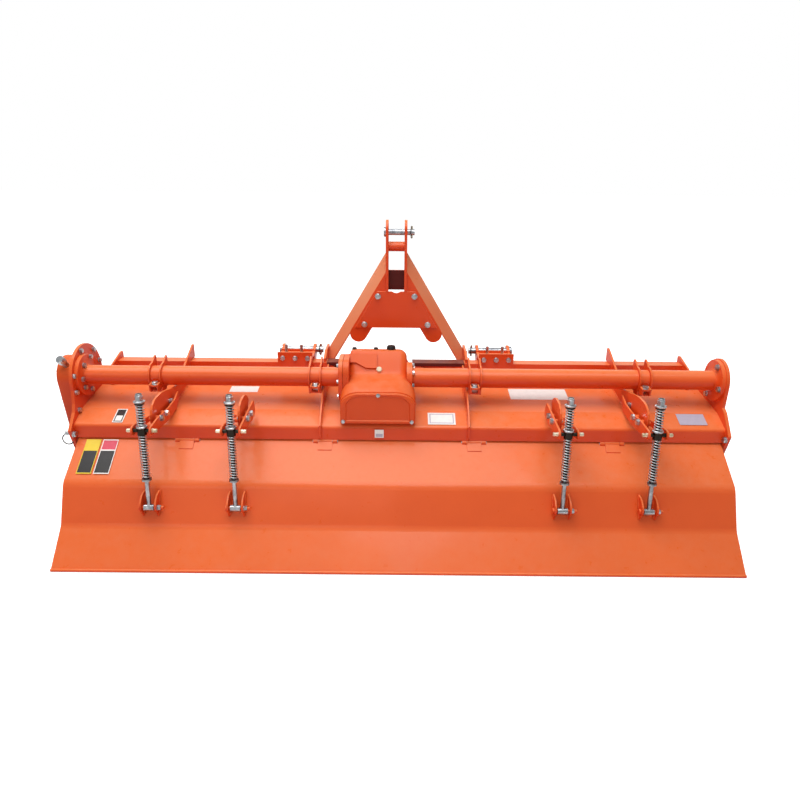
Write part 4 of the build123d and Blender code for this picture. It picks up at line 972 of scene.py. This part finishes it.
shell_rings = [arch_ring(*row) for row in (
    (-87, -202, 75, 447, 568, 74, 48), (-85, -205, 78, 446, 573, 74, 48),
    (-72, -206, 79, 444, 580, 74, 50), (-53, -206, 79, 444, 588, 72, 52),
    (-30, -205, 78, 455, 595, 68, 52), (-10, -199, 73, 463, 599, 60, 50),
    (8, -189, 62, 469, 601.5, 50, 46), (22, -183, 55, 471, 603, 43, 43, 0.9),
    (34, -179, 51, 473, 606, 38, 39, 0.8), (42, -178, 49, 474, 616, 36, 37, 0.7),
    (60, -177, 48, 477, 641, 34, 35, 0.6), (80, -177, 47, 480, 669, 34, 34, 0.45),
    (92, -177, 46, 482, 681, 34, 33, 0.4), (108, -177, 46, 485, 682, 34, 32, 0.4),
    (130, -177, 46, 489, 678, 34, 32, 0.4), (180, -177, 46, 497, 665, 34, 32, 0.4),
    (204, -177, 46, 499, 657, 34, 32, 0.4), (212, -175, 44, 499, 651, 34, 32, 0.4),
    (215, -171, 40, 500, 644, 34, 32, 0.4),
)]
boss = turned_mesh((
    (0.0605, 0.0), (0.062, 0.0015), (0.062, 0.0198), (0.0600, 0.0218), (0.031, 0.0218), (0.029, 0.0195),
    (0.0185, 0.0195),
), 40)
boss.transform(Matrix.Translation((shaft_x, 0.215, shaft_z)) @ Matrix.Rotation(-pi / 2, 4, "X"))
casting = smooth_piece(
    "gearbox_casting", join_meshes([stacked_rings(shell_rings), boss]), cast_enamel, "frame",
)
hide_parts("gearbox")
cover = smooth_piece(
    "gearbox_rear_cover",
    stacked_rings([arch_ring(*row) for row in (
        (-86.8, -203, 76, 450, 569, 74, 48), (-97, -203, 76, 450, 569, 74, 48),
        (-98.8, -201, 74, 452, 567, 73, 47), (-98.8, -184, 58, 460, 561, 64, 42),
        (-94.5, -181, 55, 463, 558, 62, 40),
    )]),
    cast_enamel, "frame",
)
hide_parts("gearbox_cover")

# Torque tubes: 76 mm steel tubes between the side plates and the gearbox, with flanges welded on. The
# left one meets the casting with a pair of large rounded flanges, the right one with a round pair.
def tube_rings(start, sign, profile):
    """Rings round the torque tube's axis from a (distance, radius) profile."""
    return [circle_x(start + sign * step, tube_y, tube_z, radius, 44) for step, radius in profile]


def rounded_outline(half_y, half_z, radius, middle_y, middle_z):
    """A rectangle with rounded corners as (y, z) points in millimetres."""
    points = []
    for corner, (sy, sz) in enumerate(((1, 1), (-1, 1), (-1, -1), (1, -1))):
        for i in range(9):
            a = pi / 2 * (corner + i / 8)
            y = middle_y + sy * (half_y - radius) + radius * cos(a)
            points.append((y, middle_z + sz * (half_z - radius) + radius * sin(a)))
    return points


TUBE_RADIUS = 0.038
tube_end = [
    (0, 0.0815), (0.0126, 0.0815), (0.0140, 0.0801), (0.0140, 0.046), (0.0195, 0.0385),
    (0.0215, TUBE_RADIUS),
]
left_tube = stacked_rings([
    *tube_rings(left_face, 1, tube_end), *tube_rings(FLANGE_LEFT, 1, [(0.002, TUBE_RADIUS)]),
])
big_flange = rounded_outline(80, 84, 50, tube_y * 1000, tube_z * 1000 - 1)
left_piece = smooth_piece(
    "left_tube_and_flange",
    join_meshes([left_tube, plate_along_x(big_flange, FLANGE_LEFT, FLANGE_LEFT + 0.0165)]),
    orange_enamel, "frame",
)
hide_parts("left_torque_tube")
smooth_piece(
    "gearbox_left_flange", plate_along_x(big_flange, FLANGE_LEFT + 0.0175, FLANGE_LEFT + 0.040), cast_enamel,
    "frame",
)
flange_pair = [
    (-0.001, TUBE_RADIUS), (0, 0.045), (0, 0.0585), (0.0015, 0.060), (0.009, 0.060), (0.0095, 0.0585),
    (0.010, 0.060),
    (0.022, 0.060),
]
right_tube = stacked_rings(
    [*tube_rings(right_face, -1, tube_end), *tube_rings(FLANGE_RIGHT, -1, flange_pair)],
)
right_piece = smooth_piece("right_tube_and_flange", right_tube, orange_enamel, "frame")
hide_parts("right_torque_tube")

# Front beam, end gussets and mast feet: the folded box beam ends at the two end gussets, and each
# mast leg stands on a low foot plate, all cut from steel plate and welded. Thin dark plates in the
# beam's inside, in the channel between the mast's ears and on the beam's top beside the gearbox are
# painted shade, where these places fall in shadow.
def trimmed_copy(node, x_low, x_high):
    """A CAD node's mesh cut off and closed at two X values."""
    shell = bmesh.new()
    shell.from_mesh(frame["nodes"][node].data)
    for x, outward in ((x_low, -1), (x_high, 1)):
        bmesh.ops.bisect_plane(
            shell, geom=[*shell.verts, *shell.edges, *shell.faces], plane_co=(x, 0, 0),
            plane_no=(outward, 0, 0),
            clear_outer=True,
        )
        rim = [edge for edge in shell.edges if edge.is_boundary]
        bmesh.ops.triangle_fill(shell, edges=rim, use_beauty=True)
    bmesh.ops.recalc_face_normals(shell, faces=shell.faces)
    return mesh_of(shell, node)


beam = steel_piece("trimmed_front_beam", trimmed_copy("front_beam", -1.170, 1.210))
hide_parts("front_beam")
gusset_outline = [
    (186, 498.4), (311, 498.4), (319, 506), (319, 603), (313, 610), (298, 609), (205, 583), (186, 560),
]
foot_outline = [
    (311.4, 501), (311.4, 583.4), (259, 583.4), (259, 600), (316, 622), (417, 622), (417, 553), (351, 468),
]
for side in ("left", "right"):
    for node, outline in ((f"{side}_end_gusset", gusset_outline), (f"{side}_mast_foot", foot_outline)):
        low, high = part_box(node)
        plate = steel_piece(f"{node}_plate", plate_along_x(outline, low.x, high.x))
        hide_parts(node)
# Painted shade: a dark red enamel for plates set in the beam's inside, the mast's channel and the beam's top
# beside the gearbox, where shadow falls.
painted_shade_enamel = enamel("painted_shade_coat", "5E1A14", "4A120E", "742418", 7, 0.05, 2, 0.5, 0.05)
inside = [
    plate_along_y([(x0, 0.505), (x0, 0.576), (x1, 0.576), (x1, 0.505)], 0.2950, 0.3045)
    for x0, x1 in ((-0.259, -0.086), (0.086, 0.259))
]
inside.append(
    plate_along_y([(-0.0327, 0.868), (-0.0327, 0.9495), (0.0327, 0.9495), (0.0327, 0.868)], 0.392, 0.3985),
)
beam_top_shade = [(253.8, 570), (253.8, 584.2), (311, 584.2), (311, 583.1), (254.9, 583.1), (254.9, 570)]
inside += [plate_along_x(beam_top_shade, x0, x1) for x0, x1 in ((-0.290, -0.200), (0.070, 0.290))]
own_piece("unlit_insides", join_meshes(inside), painted_shade_enamel, "frame")

# Lower link brackets: a bolted rear plate, a tray with raised lips over the beam, and two 12 mm cheeks
# that hold the link pin. Two zinc-plated studs stand up from each tray.
for side, sign in (("left", -1), ("right", 1)):
    middle = sign * bracket_x
    span = (middle - 0.073, middle + 0.073)
    plates = [
        plate_along_x(
            [(244.7, 501), (244.7, 629), (250.7, 629), (250.7, 611), (254.7, 606), (254.7, 501)], *span,
        ),
        plate_along_x([(249, 601), (249, 607), (339, 607), (339, 617), (345, 617), (345, 601)], *span),
    ]
    round_end = [
        (385 + 25 * sin(pi * i / 12), 604 - 25 * cos(pi * i / 12)) for i in range(13)
    ]
    for cheek in (-1, 1):
        ends = sorted((middle + cheek * 0.061, middle + cheek * 0.073))
        plates.append(plate_along_x([(311.5, 604), (311.5, 501), *round_end, (345, 612)], *ends))
    bracket = steel_piece(f"{side}_link_bracket", join_meshes(plates))
    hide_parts(f"{side}_hitch_bracket")
    studs = [
        [(middle + sign * offset - 0.006, 0.300, z) for z in (0.606, 0.647)] for offset in (-0.026, 0.038)
    ]
    along_lines(f"{side}_bracket_studs", "frame", studs, 0.0062, zinc, 0, 0.05, 12)

# Tube clamp ears: folded ears of 6 mm plate behind the torque tube, one level and two upright, carry
# each clamp's upright bolt. They are painted with the clamps.
ears = []
for x in clamp_xs:
    x += 0.004 if x < 0 else -0.004
    ears.append(plate_along_x([(-20, 562), (-20, 568), (20, 568), (20, 562)], x - 0.0125, x + 0.0125))
    for offset in (-0.0150, 0.0150):
        ears.append(plate_along_x(
            [(-22, 570), (10, 574), (26, 562), (26, 548), (4, 544), (-12, 540), (-20, 546)],
            x + offset - 0.003,
            x + offset + 0.003,
        ))
steel_piece("clamp_ears", join_meshes(ears))

# Board edge and lug ears: the sheet's upper edge runs on under the hood's flange, and each lug is a
# rounded 6 mm ear whose top sweeps back into the sheet
edge = plate_along_x(
    [(-90.6, 361.9), (-72.9, 374.0), (-75.7, 369.8), (-87.8, 357.8)], board_low.x, board_high.x,
)
ears = []
for trunnion, up in rods:
    for side in (-1, 1):
        span = sorted((trunnion.x + side * 0.0238, trunnion.x + side * 0.0302))
        ears.append(plate_along_x([
            (board_y(0.158) * 1000, 158), (-297, 176), (-306, 183), (-310.5, 194), (-309, 210), (-300, 225),
            (-286, 236), (-270, 241), (board_y(0.243) * 1000, 243),
        ], *span))
steel_piece("board_edge_and_ears", join_meshes([edge, *ears]), "board")

# Rod top nuts and trunnion washers: a 24 mm lock nut with a nylon collar holds each rod's end over a
# thick cup washer, and a ring washer on the trunnion carries the upper spring
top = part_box("spring_rod_1")[1].z
for number, (trunnion, up) in enumerate(rods, start=1):
    rod_end = trunnion + up * ((top - trunnion.z) / up.z + 0.003)
    cup_and_nut = join_meshes([
        turned_mesh((
            (0.012, -0.0345), (0.0185, -0.0325), (0.0202, -0.0300), (0.0202, -0.0265), (0.0180, -0.0250),
            (0.009, -0.0250),
        )),
        stacked_rings(hex_rings(0.0245, -0.0255, -0.0070)),
        turned_mesh((
            (0.0112, -0.0090), (0.0112, -0.0025), (0.0100, -0.0002), (0.0088, -0.0002), (0.0084, -0.0040),
        )),
    ])
    stand_along(cup_and_nut, rod_end, up)
    own_piece(f"rod_top_nut_{number}", cup_and_nut, zinc, f"spring_rod_{number}")
    end_face = turned_mesh(((0.0086, -0.004), (0.0086, -0.0012), (0.0078, -0.0006), (0.002, -0.0006)))
    stand_along(end_face, rod_end, up)
    own_piece(f"rod_end_face_{number}", end_face, dark_wire, f"spring_rod_{number}")
    washer = turned_mesh((
        (0.0120, 0.0098), (0.0185, 0.0103), (0.0198, 0.0118), (0.0198, 0.0165), (0.0185, 0.0180),
        (0.0120, 0.0185),
    ))
    stand_along(washer, trunnion, up)
    own_piece(f"trunnion_washer_{number}", washer, zinc, f"trunnion_{number}")


# Filler plug, breather, level plug and top bolts: turned steel or moulded plastic parts, screwed into
# the bosses of the castings
def turned_piece(name, profile, place, direction, material, body="frame", count=24):
    """A shape turned round its own axis and set at a place, facing a direction."""
    mesh = turned_mesh(profile, count)
    stand_along(mesh, place, direction)
    return smooth_piece(name, mesh, material, body, 35)


def moulded_plastic(name, color, roughness):
    """Moulded plastic with a faint matt texture."""
    material, tree, place = start_finish(name)
    cloud = add_node(tree, "ShaderNodeTexNoise", {"Vector": place, "Scale": 60.0, "Detail": 4})
    gloss = add_node(
        tree, "ShaderNodeMapRange", {0: cloud, 1: 0.3, 2: 0.7, 3: roughness - 0.06, 4: roughness + 0.1},
    )
    texture = add_node(tree, "ShaderNodeTexNoise", {"Vector": place, "Scale": 900.0})
    bump = add_node(tree, "ShaderNodeBump", {"Strength": 1.0, "Distance": 0.00006, "Height": texture})
    bright = linear(color)
    darker = (*[part * 0.82 for part in bright[:3]], 1)
    tint = add_node(tree, "ShaderNodeMix", {0: cloud, 6: bright, 7: darker}, data_type="RGBA")
    shader = add_node(
        tree, "ShaderNodeBsdfPrincipled",
        {
            "Base Color": tint.outputs[2], "Roughness": gloss, "IOR": 1.46,
            "Normal": bump,
        },
    )
    add_node(tree, "ShaderNodeOutputMaterial", {"Surface": shader})
    return material


black_plastic = moulded_plastic("black_moulded_plastic", "1C1A1A", 0.4)
cream_plastic = moulded_plastic("cream_moulded_plastic", "E9DDBF", 0.45)
cap = (
    (0.006, -0.004), (0.006, 0.006), (0.0165, 0.008), (0.0175, 0.011), (0.0175, 0.02), (0.015, 0.025),
    (0.004, 0.027),
)
turned_piece("gearbox_breather", cap, Vector((box_x + 0.045, tube_y + 0.066, 0.670)), UP, black_plastic)
for x in (box_x - 0.1, box_x - 0.015):
    turned_piece(
        f"gearbox_top_bolt_{'a' if x < box_x - 0.05 else 'b'}",
        ((0.009, -0.001), (0.009, 0.006), (0.0075, 0.0085), (0.002, 0.0088)),
        Vector((x, tube_y + 0.064, 0.6795)), UP, black_paint, "frame", 6,
    )
slope = Vector((0, tube_y + 0.030, box_high.z - 0.006)) - Vector((0, tube_y - 0.020, tube_z + 0.020))
slope_out = Vector((0, -slope.z, slope.y)).normalized()
slope_place = Vector((box_x, tube_y - 0.020, tube_z + 0.020)) + slope * 0.2
turned_piece(
    "gearbox_level_plug", ((0.011, -0.002), (0.011, 0.004), (0.009, 0.007), (0.002, 0.0075)), slope_place,
    slope_out,
    cream_plastic,
)
turned_piece(
    "gear_case_plug",
    ((0.0115, -0.006), (0.0115, 0.022), (0.0155, 0.024), (0.0155, 0.044), (0.0135, 0.048), (0.004, 0.048)),
    Vector((case_low.x + 0.038, -0.001, 0.641)), (-0.1, -0.7, 0.7), zinc, "frame",
)


# Stickers: blank vinyl labels, drawn 0.4 mm thick so that they show, with a pale border and plain
# printed fields. They are stuck flat on the board, on the hood's slopes and on its rear flange.
def vinyl(name, color):
    """Printed vinyl film with a light satin."""
    return moulded_plastic(name, color, 0.34)


vinyls = {
    "white": vinyl("white_vinyl", "F2EFEA"), "black": vinyl("black_vinyl", "1E1B1B"),
    "yellow": vinyl("yellow_vinyl", "EBCB2C"), "rose": vinyl("rose_vinyl", "D8425A"),
    "silver": vinyl("silver_vinyl", "B9B3C4"),
}


def sticker(name, body, low, high, x_range, along, fields):
    """A label on the flat panel between two (y, z) edges; fields are (x, x, s, s, colour) shares."""
    run = Vector((0, high[0] - low[0], high[1] - low[1])).normalized()
    out = Vector((0, -run.z, run.y)) if run.y >= 0 else Vector((0, run.z, -run.y))
    if out.z < 0 or (abs(out.z) < 0.2 and out.y > 0):
        out.negate()
    base = Vector((0, low[0], low[1]))
    shell = bmesh.new()
    colours = []
    for layer, (x0, x1, s0, s1, colour) in enumerate([(0, 1, 0, 1, fields[0]), *fields[1:]]):
        colours.append(colour)
        width, length = x_range[1] - x_range[0], along[1] - along[0]
        corners = [(x0, s0), (x1, s0), (x1, s1), (x0, s1)]
        rings = []
        for lift in (0, 0.0004):
            rings.append([
                shell.verts.new(
                    Vector((x_range[0] + width * x, 0, 0)) + base + run * (along[0] + length * s)
                    + out * (0.0002 + 0.0002 * layer + lift)
                )
                for x, s in corners
            ])
        faces = [shell.faces.new(rings[1]), shell.faces.new(rings[0][::-1])]
        for i in range(4):
            faces.append(
                shell.faces.new((rings[0][i], rings[0][(i + 1) % 4], rings[1][(i + 1) % 4], rings[1][i])),
            )
        for face in faces:
            face.material_index = layer
    bmesh.ops.recalc_face_normals(shell, faces=shell.faces)
    mesh = mesh_of(shell, name)
    for colour in colours:
        mesh.materials.append(vinyls[colour])
    return own_piece(name, mesh, None, body)


board_panel = ((hood_back - 0.006, 0.363), (hood_back - 0.154, 0.262))
rear_slope = ((hood_back, 0.430), (fold_y, fold_z))
top_slope = ((fold_y, fold_z), (crest_y, hood_top))
rear_flange = ((hood_back, 0.377), (hood_back, 0.430))
bordered = ((0.05, 0.95, 0.03, 0.3), (0.05, 0.95, 0.34, 0.97))
sticker(
    "left_board_sticker", "board", *board_panel, (-1.178, -1.122), (-0.012, 0.138),
    ["yellow", (*bordered[1], "black")],
)
sticker(
    "right_board_sticker", "board", *board_panel, (-1.114, -1.056), (-0.012, 0.138),
    ["white", (*bordered[0], "rose"), (*bordered[1], "black")],
)
sticker(
    "left_hood_sticker", "frame", *rear_slope, (-1.079, -1.039), (0.016, 0.090),
    ["white", (0.1, 0.9, 0.06, 0.94, "black"), (0.2, 0.8, 0.12, 0.5, "white")],
)
sticker(
    "middle_hood_sticker", "frame", *rear_slope, (0.128, 0.234), (0.020, 0.084),
    ["white", (0.06, 0.94, 0.1, 0.9, "silver"), (0.1, 0.9, 0.16, 0.84, "white")],
)
sticker("right_hood_sticker", "frame", *rear_slope, (1.094, 1.200), (0.030, 0.090), ["silver"])
sticker("left_top_sticker", "frame", *top_slope, (-0.679, -0.564), (0.139, 0.188), ["white"])
sticker("right_top_sticker", "frame", *top_slope, (0.467, 0.702), (0.097, 0.185), ["white"])
sticker(
    "flange_sticker", "frame", *rear_flange, (-0.075, -0.041), (0.012, 0.045),
    ["white", (0.12, 0.88, 0.12, 0.5, "silver")],
)

# Floor and light: a plain pale studio floor, an overhead softbox to the upper left, a pale card in
# front of the machine for the leaning faces to mirror, a weak fill from the camera's side and grey
# surroundings, at the level where a colour renders about as it is written.
floor_mesh = bpy.data.meshes.new("studio_floor")
floor_mesh.from_pydata([(-30, -30, 0), (30, -30, 0), (30, 30, 0), (-30, 30, 0)], [], [(0, 1, 2, 3)])
floor = in_scene("studio_floor", floor_mesh)
floor_finish, tree, place = start_finish("pale_floor_paint")
ray = add_node(tree, "ShaderNodeLightPath", {})
matt = add_node(tree, "ShaderNodeBsdfDiffuse", {"Color": (0.8, 0.8, 0.8, 1)})
lift = add_node(tree, "ShaderNodeEmission", {"Color": (1, 1, 1, 1), "Strength": 0.78})
both = add_node(tree, "ShaderNodeAddShader", {0: matt, 1: lift})
floor_mix = add_node(tree, "ShaderNodeMixShader", {0: ray.outputs["Is Camera Ray"], 1: matt, 2: both})
add_node(tree, "ShaderNodeOutputMaterial", {"Surface": floor_mix})
floor_mesh.materials.append(floor_finish)

world = bpy.data.worlds.new("studio")
bpy.context.scene.world = world
world.use_nodes = True
world.node_tree.nodes.clear()
ray = add_node(world.node_tree, "ShaderNodeLightPath", {})
level = add_node(world.node_tree, "ShaderNodeMapRange", {0: ray.outputs["Is Camera Ray"], 3: 0.34, 4: 1.0})
sky = add_node(world.node_tree, "ShaderNodeBackground", {"Color": (1, 1, 1, 1), "Strength": level})
add_node(world.node_tree, "ShaderNodeOutputWorld", {"Surface": sky})

for name, place, aim, size_x, size_y, power in (
    ("overhead_softbox", (-0.6, -0.6, 4.4), (0, 0, 0.4), 5.0, 3.0, 208),
    ("rear_card", (0, 4.6, 3.0), (0, 0.1, 0.5), 6.5, 1.8, 65),
    ("front_fill", (-1.5, -4.5, 2.6), (0, 0, 0.4), 3.0, 1.6, 20),
):
    lamp = bpy.data.lights.new(name, "AREA")
    lamp.shape = "RECTANGLE"
    lamp.size, lamp.size_y, lamp.energy = size_x, size_y, power
    lamp_object = in_scene(name, lamp)
    lamp_object.location = place
    lamp_object.rotation_euler = (Vector(aim) - Vector(place)).to_track_quat("-Z", "Y").to_euler()

# Camera: behind the machine at head height, looking down by 20 degrees, as in the photograph. Its
# lens is about 29 mm on a 36 mm frame.
camera = bpy.data.cameras.new("camera")
camera.lens = 29.25
camera.sensor_width = 36
camera_object = in_scene("camera", camera)
camera_object.matrix_world = (
    Matrix.Translation((0.020, -2.372, 1.374)) @ Matrix.Rotation(radians(70), 4, "X")
    @ Matrix.Rotation(radians(0.52), 4, "Z")
)
bpy.context.scene.camera = camera_object
bpy.context.scene.view_settings.view_transform = "Standard"
